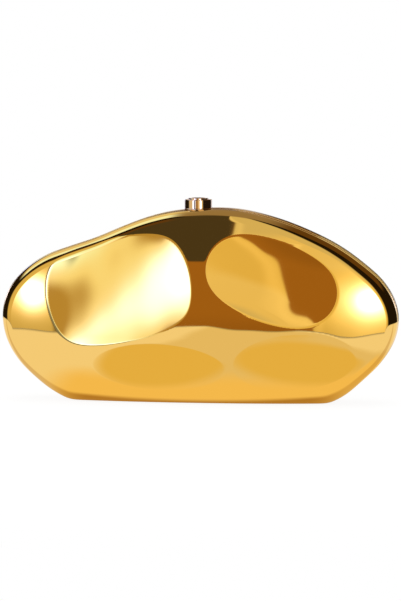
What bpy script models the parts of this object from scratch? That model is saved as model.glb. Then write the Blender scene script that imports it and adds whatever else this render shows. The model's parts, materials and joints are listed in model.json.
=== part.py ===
"""A hard-shell evening clutch bag: two dimpled, gold-plated shells in metal frames.

The joint plane between the two halves is y = 0 and the bag faces -Y. It stands on z = 0.
The front half swings down on a piano hinge along the base.
A push-button lock on top holds it shut.
"""

import math

import bmesh
import bpy
import numpy as np
from mathutils import Matrix, Vector

MM = 0.001

# Overall form
BAG_WIDTH = 220 * MM
BAG_HEIGHT = 107.6 * MM
JOINT_GAP = 0.3 * MM
SEAT_GAP = 0.3 * MM
CUT_OVERRUN = 1 * MM
JOIN_OVERLAP = 0.4 * MM
WELD_DISTANCE = 0.01 * MM

# Depth of a shell's face from the joint plane
CREST_DEPTH = 27 * MM
TIP_DEPTH = 12 * MM
TOP_DEPTH = 15 * MM
BASE_DEPTH = 17 * MM
CREST_HEIGHT = 38 * MM
DOME_POWER = 2.2

# The frame's outline from the right end of the flat base, up and round to its left end,
# as shares of half the width and of the height
OUTLINE_SHARES = [
    (0.636, 0.000),
    (0.707, 0.028),
    (0.826, 0.126),
    (0.923, 0.229),
    (0.982, 0.335),
    (1.000, 0.428),
    (0.978, 0.534),
    (0.927, 0.621),
    (0.821, 0.721),
    (0.700, 0.808),
    (0.545, 0.887),
    (0.364, 0.955),
    (0.218, 0.991),
    (0.109, 1.000),
    (-0.018, 0.994),
    (-0.127, 0.984),
    (-0.255, 0.953),
    (-0.382, 0.905),
    (-0.527, 0.843),
    (-0.655, 0.799),
    (-0.782, 0.750),
    (-0.891, 0.673),
    (-0.966, 0.579),
    (-1.000, 0.465),
    (-0.987, 0.344),
    (-0.927, 0.223),
    (-0.827, 0.116),
    (-0.727, 0.039),
    (-0.636, 0.000),
]
STEPS_ROUND_EDGE = 2
STEPS_ALONG_BASE = 6

# Dimples pressed into each shell: centre x and z, half length and half height, as shares of
# half the width and of the height, then the tilt in degrees, the depth, the squareness and the lean
DIMPLE_DEPTH_UPPER_LEFT = 3.6 * MM
DIMPLE_DEPTH_UPPER_RIGHT = 3.2 * MM
DIMPLE_DEPTH_LOWER = 1.3 * MM
DIMPLES = [
    ((-0.385, 0.588), (0.368, 0.262), 13, DIMPLE_DEPTH_UPPER_LEFT, 0.7, 0),
    ((0.378, 0.640), (0.335, 0.202), -20, DIMPLE_DEPTH_UPPER_RIGHT, 0.35, -0.7),
    ((-0.185, 0.200), (0.332, 0.121), -2, DIMPLE_DEPTH_LOWER, 0, 0),
    ((0.489, 0.230), (0.300, 0.149), 4, DIMPLE_DEPTH_LOWER, 0, 0),
]
DIMPLE_EDGE_SHARE = 0.03

# Shells
SHELL_WALL = 2 * MM
SHELL_INSET = 0.4 * MM
SHELL_EDGE_RADIUS = 6 * MM
EDGE_ANGLES = (30, 60, 90)
SIDE_WALL_LEAST = 0.5 * MM
RING_SHARES = (0.88, 0.74, 0.59, 0.44, 0.29, 0.14)

# Frames
FRAME_WIDTH = 4.5 * MM
FRAME_THICKNESS = 4 * MM
TONGUE_THICKNESS = 1.1 * MM
TONGUE_REACH = 2.3 * MM

# Piano hinge along the base, whose leaves lie on the frames' flanges
OPEN_ANGLE = 70
STOP_MARGIN_ANGLE = 4
BARREL_RADIUS = 1.9 * MM
BARREL_BORE = 0.95 * MM
HINGE_PIN_CLEARANCE = 0.15 * MM
LEAF_THICKNESS = 0.8 * MM
LEAF_REACH = 5.2 * MM
LEAF_LOW = FRAME_THICKNESS + SEAT_GAP
LEAF_TOP = LEAF_LOW + LEAF_THICKNESS
HINGE_HEIGHT = LEAF_TOP - BARREL_RADIUS
HINGE_END_MARGIN = 6 * MM
KNUCKLES = 7
KNUCKLE_GAP = 0.3 * MM
CHANNEL_CLEARANCE = 0.5 * MM
WEDGE_REACH = 14 * MM
RIVET_RADIUS = 0.6 * MM
RIVET_HEAD_RADIUS = 1.1 * MM
RIVET_CLEARANCE = 0.15 * MM
RIVET_DEPTH = 2 * MM
HINGE_RIVET_Y = (BARREL_RADIUS + CHANNEL_CLEARANCE + FRAME_WIDTH) / 2
RIVET_PLACE_SHARES = (-0.78, -0.28, 0.28, 0.78)

# Lock on top of the rear frame: how far the latch overlaps, and how far the button moves it
LOCK_X = -0.8 * MM
LATCH_CLEARANCE = 0.4 * MM
LATCH_OVERLAP = 1.1 * MM
LATCH_RELEASE = 0.5 * MM
BUTTON_TRAVEL = LATCH_OVERLAP + LATCH_RELEASE

# Sleeve and push button
SEAT_DEPTH = 0.5 * MM
SLEEVE_RADIUS = 7.5 * MM
SLEEVE_FOOT = 0.3 * MM
SLEEVE_FOOT_HEIGHT = 0.9 * MM
SLEEVE_HEIGHT = 5.9 * MM
SLEEVE_BORE = 5.8 * MM
SLEEVE_FLOOR = 1.5 * MM
SLEEVE_RIM_BEVEL = 0.35 * MM
BUTTON_CLEARANCE = 0.3 * MM
BUTTON_STOP_GAP = 0.2 * MM
BUTTON_RISE = 0.7 * MM
BUTTON_THICKNESS = SLEEVE_HEIGHT + BUTTON_RISE - SLEEVE_FLOOR - BUTTON_TRAVEL - BUTTON_STOP_GAP
BUTTON_DISH_RADIUS = 4.4 * MM
BUTTON_DISH_FLOOR_RADIUS = 3.4 * MM
BUTTON_DISH_DEPTH = 0.4 * MM
STEM_WIDTH = 4.5 * MM
STEM_FRONT = 1 * MM
STEM_THICKNESS = 1.6 * MM
STEM_BACK = STEM_FRONT + STEM_THICKNESS
STEM_MIDDLE = STEM_FRONT + STEM_THICKNESS / 2

# Catch on the front frame
CATCH_WIDTH = 4.8 * MM
CATCH_THICKNESS = 0.8 * MM
CATCH_TONGUE_THICKNESS = 1.4 * MM
CATCH_SET_BACK = 0.6 * MM
CATCH_EDGE_MARGIN = 0.4 * MM
NOSE_LENGTH = 1.3 * MM
NOSE_DROP = LATCH_CLEARANCE + LATCH_OVERLAP
CATCH_REACH = STEM_BACK + LATCH_CLEARANCE + NOSE_LENGTH
CATCH_RIVET_X = CATCH_WIDTH / 2 + RIVET_HEAD_RADIUS + CATCH_EDGE_MARGIN
CATCH_RIVET_Y = (CATCH_SET_BACK + FRAME_WIDTH) / 2
CATCH_PLATE_WIDTH = 2 * (CATCH_RIVET_X + RIVET_HEAD_RADIUS + CATCH_EDGE_MARGIN)

# Latch stirrup under the stem, which the catch's tongue passes through
STIRRUP_SCREW_RADIUS = 0.4 * MM
STIRRUP_SCREW_HEAD_RADIUS = 0.7 * MM
STIRRUP_SCREW_HEAD = 0.5 * MM
STIRRUP_SCREW_REACH = 1.6 * MM
STIRRUP_SCREW_CLEARANCE = 0.1 * MM
STIRRUP_LEG = 1.4 * MM
STIRRUP_TOP_BAR = 1.6 * MM
STIRRUP_TOOTH = 2.4 * MM
STIRRUP_HEAD_ROOM = LATCH_RELEASE + STIRRUP_SCREW_HEAD + 2 * STIRRUP_SCREW_CLEARANCE
STIRRUP_WINDOW_WIDTH = CATCH_WIDTH + 2 * LATCH_CLEARANCE
STIRRUP_WINDOW_HEIGHT = LATCH_CLEARANCE + CATCH_TONGUE_THICKNESS + BUTTON_TRAVEL + STIRRUP_HEAD_ROOM
STIRRUP_WIDTH = STIRRUP_WINDOW_WIDTH + 2 * STIRRUP_LEG

# Lock housing under the rear frame, with its screws and the return spring
HOUSING_WALL = 0.8 * MM
HOUSING_FRONT = 0.4 * MM
HOUSING_SIDE_GAP = 0.8 * MM
HOUSING_TOP_GAP = 0.4 * MM
HOUSING_WIDTH = STIRRUP_WIDTH + 2 * (HOUSING_SIDE_GAP + HOUSING_WALL)
HOUSING_BACK = CATCH_REACH + LATCH_CLEARANCE + HOUSING_WALL
LOCK_SCREW_RADIUS = 0.6 * MM
LOCK_SCREW_HEAD_RADIUS = 0.9 * MM
LOCK_SCREW_HEAD = 0.8 * MM
LOCK_SCREW_CLEARANCE = 0.15 * MM
LOCK_SCREW_BITE = 1 * MM
LOCK_SCREW_WEB = 0.5 * MM
LOCK_SCREW_HOLE = LOCK_SCREW_RADIUS + LOCK_SCREW_CLEARANCE
LOCK_SCREW_X = STEM_WIDTH / 2 + SEAT_GAP + LOCK_SCREW_WEB + LOCK_SCREW_HOLE
LOCK_SCREW_Y = STEM_BACK + LOCK_SCREW_HEAD_RADIUS
STEM_BELOW_FRAME = HOUSING_TOP_GAP + HOUSING_WALL + LOCK_SCREW_CLEARANCE + LOCK_SCREW_HEAD
SPRING_RADIUS = 1.1 * MM
SPRING_WIRE_RADIUS = 0.2 * MM
SPRING_TURNS = 4
SPRING_POINTS_A_TURN = 10
SPRING_PRESSED_LENGTH = 2.4 * MM
SPRING_END_GAP = 0.15 * MM
HOUSING_SPRING_ROOM = SPRING_PRESSED_LENGTH + BUTTON_TRAVEL + 2 * SPRING_END_GAP

# Flocked linings, whose rims clear the hinge leaves and the lock housing
LINING_WALL = 1 * MM
LINING_GAP = 0.7 * MM
LINING_CLEARANCE = 0.5 * MM
LINING_INSET = FRAME_THICKNESS + LINING_CLEARANCE
LINING_RIM = max(LEAF_REACH, HOUSING_BACK) + LINING_CLEARANCE
LINING_EDGE_RADIUS = 2 * MM
LINING_EDGE_ANGLES = (90,)

# Chain eyes inside the rear frame, at two points of the outline
EYE_STATION_SHARES = (0.218, 0.782)
EYE_RING_RADIUS = 2.6 * MM
EYE_WIRE_RADIUS = 0.6 * MM
EYE_STUD_RADIUS = 0.9 * MM
EYE_STUD_LENGTH = 1.6 * MM
EYE_Y = FRAME_WIDTH / 2

ROUND_SIDES = 32
SMALL_SIDES = 12


def smooth_path(knots, start_tangent, end_tangent, steps):
    """Points and tangents of a cubic path through the knots, each tangent weighted to the nearer knot."""
    knots = np.array(knots, float)
    chords = np.linalg.norm(np.diff(knots, axis=0), axis=1)
    slopes = np.diff(knots, axis=0) / chords[:, None]
    tangents = np.empty_like(knots)
    tangents[0], tangents[-1] = start_tangent, end_tangent
    before, after = chords[:-1, None], chords[1:, None]
    tangents[1:-1] = (slopes[:-1] * after + slopes[1:] * before) / (before + after)
    points, directions = [], []
    for i, chord in enumerate(chords):
        for t in np.arange(steps) / steps:
            p0, p1, m0, m1 = knots[i], knots[i + 1], tangents[i] * chord, tangents[i + 1] * chord
            points.append(
                (2 * t**3 - 3 * t**2 + 1) * p0
                + (t**3 - 2 * t**2 + t) * m0
                + (3 * t**2 - 2 * t**3) * p1
                + (t**3 - t**2) * m1
            )
            slope = (
                (6 * t**2 - 6 * t) * p0
                + (3 * t**2 - 4 * t + 1) * m0
                + (6 * t - 6 * t**2) * p1
                + (3 * t**2 - 2 * t) * m1
            )
            directions.append(slope / np.linalg.norm(slope))
    return np.array(points), np.array(directions)


def outline_stations():
    """Stations round the frame's outer edge as (x, z), and the inward normal at each."""
    knots = np.array(OUTLINE_SHARES) * (BAG_WIDTH / 2, BAG_HEIGHT)
    along_base = np.array((1.0, 0.0))
    points, tangents = smooth_path(knots, along_base, along_base, STEPS_ROUND_EDGE)
    shares = np.arange(STEPS_ALONG_BASE) / STEPS_ALONG_BASE
    base = knots[-1] + shares[:, None] * (knots[0] - knots[-1])
    points = np.vstack([points, base])
    tangents = np.vstack([tangents, np.tile(along_base, (len(base), 1))])
    normals = np.column_stack([-tangents[:, 1], tangents[:, 0]])
    return points, normals


STATIONS, NORMALS = outline_stations()
BASE_HALF_LENGTH = OUTLINE_SHARES[0][0] * BAG_WIDTH / 2


def outline(inset):
    """The outline moved inwards by inset."""
    return STATIONS + NORMALS * inset


def edge_height(x):
    """Height of the frame's top edge above the base at x."""
    top = STATIONS[STATIONS[:, 1] > BAG_HEIGHT / 2]
    order = np.argsort(top[:, 0])
    return float(np.interp(x, top[order, 0], top[order, 1]))


def face_depth(points):
    """Depth of a shell's face from the joint plane: a dome, less a soft-edged bowl for each dimple."""
    x, z = points[:, 0], points[:, 1]
    up = np.clip((z - CREST_HEIGHT) / (BAG_HEIGHT - CREST_HEIGHT), 0, None)
    down = np.clip((CREST_HEIGHT - z) / CREST_HEIGHT, 0, None)
    depth = CREST_DEPTH - (CREST_DEPTH - TIP_DEPTH) * np.abs(2 * x / BAG_WIDTH) ** DOME_POWER
    depth = depth - (CREST_DEPTH - TOP_DEPTH) * up**DOME_POWER
    depth = depth - (CREST_DEPTH - BASE_DEPTH) * down**DOME_POWER
    for centre, half, tilt, dent, squareness, lean in DIMPLES:
        dx = x - centre[0] * BAG_WIDTH / 2
        dz = z - centre[1] * BAG_HEIGHT
        turn = math.radians(tilt)
        along = (dx * math.cos(turn) + dz * math.sin(turn)) / (half[0] * BAG_WIDTH / 2)
        across = (dz * math.cos(turn) - dx * math.sin(turn)) / (half[1] * BAG_HEIGHT)
        corners = squareness * (along * across) ** 2 / ((1 + along**8) * (1 + across**8)) ** (1 / 4)
        skew = along * across / (1 + (along * across) ** 2)
        bowl = (1 - along**2 - across**2 + corners) * (1 + lean * skew)
        depth = depth - dent * DIMPLE_EDGE_SHARE * np.logaddexp(0, bowl / DIMPLE_EDGE_SHARE)
    return depth


def material(name, colour, roughness, metallic):
    made = bpy.data.materials.new(name)
    made.use_nodes = True
    shader = made.node_tree.nodes["Principled BSDF"]
    shader.inputs["Base Color"].default_value = (*colour, 1.0)
    shader.inputs["Roughness"].default_value = roughness
    shader.inputs["Metallic"].default_value = metallic
    made.diffuse_color = (*colour, 1.0)
    return made


def new_object(name, mesh, finish=None, parent=None):
    """An object of the bag if it has a finish, or else a cutter or a piece that is joined to another."""
    made = bpy.data.objects.new(name, mesh)
    if finish is None:
        HELPERS.objects.link(made)
        made.hide_render = True
        made.display_type = "WIRE"
        return made
    CLUTCH.objects.link(made)
    mesh.materials.append(finish)
    if parent is not None:
        made.parent = parent
        made.matrix_parent_inverse = parent.matrix_world.inverted()
    return made


def mesh_from(name, make):
    """A mesh filled in by make(bm)."""
    bm = bmesh.new()
    make(bm)
    mesh = bpy.data.meshes.new(name)
    bm.to_mesh(mesh)
    bm.free()
    return mesh


def box(name, low, high, finish=None, parent=None):
    low, high = Vector(low), Vector(high)
    size = Matrix.Diagonal((*(high - low), 1.0))
    mesh = mesh_from(name, lambda bm: bmesh.ops.create_cube(bm, size=1.0, matrix=size))
    made = new_object(name, mesh, finish, parent)
    made.location = (low + high) / 2
    return made


def cone(name, start, end, start_radius, end_radius, finish=None, parent=None, sides=SMALL_SIDES):
    """A round bar or cone from start to end."""
    start, end = Vector(start), Vector(end)
    way = end - start
    mesh = mesh_from(
        name,
        lambda bm: bmesh.ops.create_cone(
            bm,
            cap_ends=True,
            segments=sides,
            radius1=start_radius,
            radius2=end_radius,
            depth=way.length,
        ),
    )
    made = new_object(name, mesh, finish, parent)
    turn = way.to_track_quat("Z", "Y").to_matrix().to_4x4()
    mesh.transform(Matrix.Translation((start + end) / 2) @ turn)
    return made


def cylinder(name, start, end, radius, finish=None, parent=None, sides=SMALL_SIDES):
    return cone(name, start, end, radius, radius, finish, parent, sides)


def combine(target, other, operation):
    modifier = target.modifiers.new(other.name, "BOOLEAN")
    modifier.operation = operation
    modifier.solver = "EXACT"
    modifier.object = other
    return target


def join(target, *others):
    for other in others:
        combine(target, other, "UNION")
    return target


def cut(target, *others):
    for other in others:
        combine(target, other, "DIFFERENCE")
    return target


def section_loop(name, points):
    """A flat closed curve through the points."""
    curve = bpy.data.curves.new(name, "CURVE")
    curve.dimensions = "2D"
    curve.fill_mode = "NONE"
    spline = curve.splines.new("POLY")
    spline.points.add(len(points) - 1)
    spline.use_cyclic_u = True
    for point, (x, y) in zip(spline.points, points):
        point.co = (x, y, 0, 1)
    made = bpy.data.objects.new(name, curve)
    HELPERS.objects.link(made)
    return made


def swept_band(name, section, finish, parent):
    """A band with a section of (inset, y) points, swept along the frame's outline."""
    guide = section_loop(name + "_outline", STATIONS)
    profile = section_loop(name + "_section", [(inset, -y) for inset, y in section])
    guide.data.bevel_mode = "OBJECT"
    guide.data.bevel_object = profile
    guide.rotation_euler.x = math.radians(90)
    bpy.context.view_layer.update()
    mesh = bpy.data.meshes.new_from_object(guide.evaluated_get(bpy.context.evaluated_depsgraph_get()))
    mesh.transform(guide.matrix_world)
    bpy.data.objects.remove(guide)
    bpy.data.objects.remove(profile)
    bm = bmesh.new()
    bm.from_mesh(mesh)
    bmesh.ops.remove_doubles(bm, verts=bm.verts, dist=WELD_DISTANCE)
    bmesh.ops.recalc_face_normals(bm, faces=bm.faces)
    bm.to_mesh(mesh)
    bm.free()
    return new_object(name, mesh, finish, parent)


def dish(name, rings, centre, side, wall, finish, parent):
    """A dish lofted through rings of (x, z, depth), closed at its centre and thickened inwards."""
    count = len(rings[0])

    def make(bm):
        rows = [[bm.verts.new((x, side * y, z)) for x, z, y in ring] for ring in rings]
        middle = bm.verts.new((centre[0], side * centre[2], centre[1]))
        for first, second in zip(rows, rows[1:]):
            for i in range(count):
                j = (i + 1) % count
                bm.faces.new((first[i], first[j], second[j], second[i]))
        for i in range(count):
            bm.faces.new((rows[-1][i], rows[-1][(i + 1) % count], middle))
        if side > 0:
            bmesh.ops.reverse_faces(bm, faces=bm.faces)

    mesh = mesh_from(name, make)
    mesh.shade_smooth()
    made = new_object(name, mesh, finish, parent)
    skin = made.modifiers.new("wall", "SOLIDIFY")
    skin.thickness = wall
    skin.offset = -1
    skin.use_even_offset = True
    return made


def dish_rings(inset, rim_depth, radius, angles, drop):
    """Rings of a dish: a straight side wall, a rounded edge, then rings drawn in to the crest.

    The face keeps clear of the rim by the rounded edge and the least side wall, where the dome falls low.
    """
    hub = np.array((0.0, CREST_HEIGHT))
    least_face = rim_depth + SIDE_WALL_LEAST + radius

    def ring(loop, fall):
        return np.column_stack([loop, np.maximum(face_depth(loop) - drop, least_face) - fall])

    wall_foot = outline(inset)
    rings = [np.column_stack([wall_foot, np.full(len(wall_foot), rim_depth)]), ring(wall_foot, radius)]
    for angle in angles:
        turn = math.radians(angle)
        rings.append(ring(outline(inset + radius * (1 - math.cos(turn))), radius * (1 - math.sin(turn))))
    face_edge = outline(SHELL_INSET + SHELL_EDGE_RADIUS)
    rings += [ring(hub + share * (face_edge - hub), 0) for share in RING_SHARES]
    return rings, ring(hub[None, :], 0)[0]


def make_shell(name, side, parent):
    """A moulded shell: its rim butts on the frame's flange and the frame's tongue locates it inside."""
    rim = FRAME_WIDTH + SEAT_GAP
    rings, middle = dish_rings(SHELL_INSET, rim, SHELL_EDGE_RADIUS, EDGE_ANGLES, 0)
    shell = dish(name, rings, middle, side, SHELL_WALL, GOLD_PLATED_SHELL, parent)
    return cut(shell, LOCK_SEAT_CUTTER)


def make_lining(name, side, parent):
    """A flocked tray that follows the inside of the shell from behind the frame's flange."""
    rings, middle = dish_rings(
        LINING_INSET, LINING_RIM, LINING_EDGE_RADIUS, LINING_EDGE_ANGLES, SHELL_WALL + LINING_GAP
    )
    return dish(name, rings, middle, side, LINING_WALL, VELOUR_FLOCK, parent)


def make_frame(name, side, parent):
    """An L-section frame: a flange at the joint plane and a thin tongue that reaches into the shell."""
    joint, back = side * JOINT_GAP / 2, side * FRAME_WIDTH
    tip = side * (FRAME_WIDTH + TONGUE_REACH)
    shoulder = FRAME_THICKNESS - TONGUE_THICKNESS
    section = [
        (0, joint),
        (0, back),
        (shoulder, back),
        (shoulder, tip),
        (FRAME_THICKNESS, tip),
        (FRAME_THICKNESS, joint),
    ]
    return cut(swept_band(name, section, FRAME_METAL, parent), *FRAME_CUTTERS)


def frame_cutters():
    """Room below the hinge axis for the frames to swing, a channel for the barrel, and the lock's seat."""
    half_angle = math.radians(OPEN_ANGLE + STOP_MARGIN_ANGLE) / 2
    depth = HINGE_HEIGHT + CUT_OVERRUN
    wedge = mesh_from(
        "swing_room",
        lambda bm: bmesh.ops.create_cone(
            bm, cap_ends=True, segments=3, radius1=1.0, radius2=1.0, depth=1.0
        ),
    )
    corners = ((0, 0), (-math.tan(half_angle), -1), (math.tan(half_angle), -1))
    reach = BASE_HALF_LENGTH + WEDGE_REACH
    loops = sorted(wedge.vertices, key=lambda v: (v.co.z, math.atan2(v.co.y, v.co.x)))
    for i, vertex in enumerate(loops):
        y, z = corners[i % 3]
        vertex.co = (reach if i < 3 else -reach, y * depth, HINGE_HEIGHT + z * depth)
    bm = bmesh.new()
    bm.from_mesh(wedge)
    bmesh.ops.recalc_face_normals(bm, faces=bm.faces)
    bm.to_mesh(wedge)
    bm.free()
    swing_room = new_object("swing_room", wedge)
    half = BARREL_RADIUS + CHANNEL_CLEARANCE
    length = HINGE_HALF_LENGTH + CHANNEL_CLEARANCE
    channel = box(
        "barrel_channel",
        (-length, -half, -CUT_OVERRUN),
        (length, half, FRAME_THICKNESS + CUT_OVERRUN),
    )
    return swing_room, channel, LOCK_SEAT_CUTTER


def lock_seat_cutter():
    """The flat round seat for the lock's sleeve, cut into both frames and the shells' rims."""
    return cylinder(
        "lock_seat",
        (LOCK_X, 0, LOCK_SEAT),
        (LOCK_X, 0, LOCK_SEAT + SLEEVE_HEIGHT),
        SEAT_REACH,
        sides=ROUND_SIDES,
    )


def make_hinge():
    """A piano hinge: two leaves with alternate knuckles on one pin, riveted to the frames."""
    make_leaf("rear", 1, None, 0)
    make_leaf("front", -1, FRONT_HALF, 1)
    cylinder(
        "hinge_pin",
        (-HINGE_HALF_LENGTH, 0, HINGE_HEIGHT),
        (HINGE_HALF_LENGTH, 0, HINGE_HEIGHT),
        BARREL_BORE - HINGE_PIN_CLEARANCE,
        HINGE_STEEL,
    )


def make_leaf(half, side, parent, first_knuckle):
    """One leaf of the hinge, with every second knuckle and its countersunk rivets."""
    name = "hinge_leaf_" + half
    inner = BARREL_RADIUS + KNUCKLE_GAP
    edges = sorted((side * inner, side * LEAF_REACH))
    leaf = box(
        name,
        (-HINGE_HALF_LENGTH, edges[0], LEAF_LOW),
        (HINGE_HALF_LENGTH, edges[1], LEAF_TOP),
        HINGE_STEEL,
        parent,
    )
    pitch = 2 * HINGE_HALF_LENGTH / KNUCKLES
    web = sorted((0, side * (inner + JOIN_OVERLAP)))
    for i in range(first_knuckle, KNUCKLES, 2):
        start = -HINGE_HALF_LENGTH + i * pitch + KNUCKLE_GAP / 2
        end = start + pitch - KNUCKLE_GAP
        barrel = cylinder(
            f"{name}_knuckle_{i}", (start, 0, HINGE_HEIGHT), (end, 0, HINGE_HEIGHT), BARREL_RADIUS
        )
        finger = box(f"{name}_finger_{i}", (start, web[0], LEAF_LOW), (end, web[1], LEAF_TOP))
        join(leaf, finger, barrel)
    bore = cylinder(
        name + "_bore",
        (-HINGE_HALF_LENGTH - CUT_OVERRUN, 0, HINGE_HEIGHT),
        (HINGE_HALF_LENGTH + CUT_OVERRUN, 0, HINGE_HEIGHT),
        BARREL_BORE,
    )
    cut(leaf, bore)
    for i, share in enumerate(RIVET_PLACE_SHARES):
        place = (share * HINGE_HALF_LENGTH, side * HINGE_RIVET_Y)
        rivet_name = f"hinge_rivet_{half}_{i + 1}"
        countersunk_rivet(rivet_name, *place, 0, 0, HINGE_STEEL, parent)
        cut(leaf, countersunk_rivet(rivet_name + "_hole", *place, RIVET_CLEARANCE, CUT_OVERRUN))


def countersunk_rivet(name, x, y, extra, overrun, finish=None, parent=None):
    """A countersunk rivet through a hinge leaf into the frame's flange, or its hole, larger by extra."""
    sink = LEAF_LOW + LEAF_THICKNESS / 4
    flare = (RIVET_HEAD_RADIUS - RIVET_RADIUS) / (LEAF_TOP - sink)
    foot = LEAF_LOW - RIVET_DEPTH - extra
    shank = cylinder(name, (x, y, foot), (x, y, sink + SEAT_GAP), RIVET_RADIUS + extra, finish, parent)
    head = cone(
        name + "_head",
        (x, y, sink),
        (x, y, LEAF_TOP + overrun),
        RIVET_RADIUS + extra,
        RIVET_HEAD_RADIUS + extra + flare * overrun,
    )
    return join(shank, head)


def hinge_rivet_holes(side):
    """Blind holes in a frame's flange for the shanks of its hinge rivets."""
    return [
        cylinder(
            f"flange_hole_{side}_{i}",
            (share * HINGE_HALF_LENGTH, side * HINGE_RIVET_Y, LEAF_LOW - RIVET_DEPTH - RIVET_CLEARANCE),
            (share * HINGE_HALF_LENGTH, side * HINGE_RIVET_Y, LEAF_LOW + CUT_OVERRUN),
            RIVET_RADIUS + RIVET_CLEARANCE,
        )
        for i, share in enumerate(RIVET_PLACE_SHARES)
    ]


def stem_slot(name, low, high):
    """A slot for the button's stem between two heights."""
    return box(
        name,
        (LOCK_X - STEM_WIDTH / 2 - SEAT_GAP, STEM_FRONT - SEAT_GAP, low),
        (LOCK_X + STEM_WIDTH / 2 + SEAT_GAP, STEM_BACK + SEAT_GAP, high),
    )


def lock_screw_places():
    return [(LOCK_X + side * LOCK_SCREW_X, LOCK_SCREW_Y) for side in (-1, 1)]


def make_button():
    """The push button, its stem, and the latch stirrup that a small screw holds under the stem."""
    top = SLEEVE_TOP + BUTTON_RISE
    radius = SLEEVE_BORE - BUTTON_CLEARANCE
    button = cylinder(
        "push_button",
        (LOCK_X, 0, top - BUTTON_THICKNESS),
        (LOCK_X, 0, top),
        radius,
        CLASP_METAL,
        BUTTON_SLIDE,
        ROUND_SIDES,
    )
    dish_cutter = cone(
        "button_dish",
        (LOCK_X, 0, top - BUTTON_DISH_DEPTH),
        (LOCK_X, 0, top + BUTTON_DISH_DEPTH),
        BUTTON_DISH_FLOOR_RADIUS,
        2 * BUTTON_DISH_RADIUS - BUTTON_DISH_FLOOR_RADIUS,
        sides=ROUND_SIDES,
    )
    cut(button, dish_cutter)
    stem = box(
        "button_stem",
        (LOCK_X - STEM_WIDTH / 2, STEM_FRONT, STEM_END),
        (LOCK_X + STEM_WIDTH / 2, STEM_BACK, top - BUTTON_THICKNESS + JOIN_OVERLAP),
    )
    join(button, stem)
    bar_top = STEM_END - SEAT_GAP
    window_top = bar_top - STIRRUP_TOP_BAR
    reach = STIRRUP_SCREW_RADIUS + STIRRUP_SCREW_CLEARANCE
    hole_top = STEM_END + STIRRUP_SCREW_REACH + STIRRUP_SCREW_CLEARANCE
    hole = cylinder(
        "stem_screw_hole",
        (LOCK_X, STEM_MIDDLE, window_top - CUT_OVERRUN),
        (LOCK_X, STEM_MIDDLE, hole_top),
        reach,
    )
    cut(button, hole)
    stirrup = box(
        "latch_stirrup",
        (LOCK_X - STIRRUP_WIDTH / 2, STEM_FRONT, TOOTH_TOP - STIRRUP_TOOTH),
        (LOCK_X + STIRRUP_WIDTH / 2, STEM_BACK, bar_top),
        HINGE_STEEL,
        BUTTON_SLIDE,
    )
    window = box(
        "stirrup_window",
        (LOCK_X - STIRRUP_WINDOW_WIDTH / 2, STEM_FRONT - CUT_OVERRUN, TOOTH_TOP),
        (LOCK_X + STIRRUP_WINDOW_WIDTH / 2, STEM_BACK + CUT_OVERRUN, window_top),
    )
    cut(stirrup, window, hole)
    head_top = window_top - STIRRUP_SCREW_CLEARANCE
    screw = cylinder(
        "stirrup_screw",
        (LOCK_X, STEM_MIDDLE, head_top - STIRRUP_SCREW_HEAD),
        (LOCK_X, STEM_MIDDLE, head_top),
        STIRRUP_SCREW_HEAD_RADIUS,
        HINGE_STEEL,
        BUTTON_SLIDE,
    )
    shank = cylinder(
        "stirrup_screw_shank",
        (LOCK_X, STEM_MIDDLE, head_top - STIRRUP_SCREW_HEAD / 2),
        (LOCK_X, STEM_MIDDLE, STEM_END + STIRRUP_SCREW_REACH),
        STIRRUP_SCREW_RADIUS,
    )
    join(screw, shank)


def make_sleeve():
    """The polished sleeve round the button, standing on the rear frame."""
    low = LOCK_SEAT + SEAT_GAP
    sleeve = cylinder(
        "lock_sleeve",
        (LOCK_X, 0, low),
        (LOCK_X, 0, SLEEVE_TOP - SLEEVE_RIM_BEVEL),
        SLEEVE_RADIUS,
        CLASP_METAL,
        sides=ROUND_SIDES,
    )
    rim = cone(
        "sleeve_rim",
        (LOCK_X, 0, SLEEVE_TOP - SLEEVE_RIM_BEVEL),
        (LOCK_X, 0, SLEEVE_TOP),
        SLEEVE_RADIUS,
        SLEEVE_RADIUS - SLEEVE_RIM_BEVEL,
        sides=ROUND_SIDES,
    )
    foot = cylinder(
        "sleeve_foot",
        (LOCK_X, 0, low),
        (LOCK_X, 0, low + SLEEVE_FOOT_HEIGHT),
        SLEEVE_RADIUS + SLEEVE_FOOT,
        sides=ROUND_SIDES,
    )
    bore = cylinder(
        "sleeve_bore",
        (LOCK_X, 0, low + SLEEVE_FLOOR),
        (LOCK_X, 0, SLEEVE_TOP + CUT_OVERRUN),
        SLEEVE_BORE,
        sides=ROUND_SIDES,
    )
    join(sleeve, rim, foot)
    cut(sleeve, bore, stem_slot("sleeve_stem_slot", low - CUT_OVERRUN, SLEEVE_TOP))
    for i, (x, y) in enumerate(lock_screw_places()):
        top = low + LOCK_SCREW_BITE + LOCK_SCREW_CLEARANCE
        hole = cylinder(
            f"sleeve_screw_hole_{i}",
            (x, y, low - CUT_OVERRUN),
            (x, y, top),
            LOCK_SCREW_HOLE,
        )
        cut(sleeve, hole)


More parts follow.
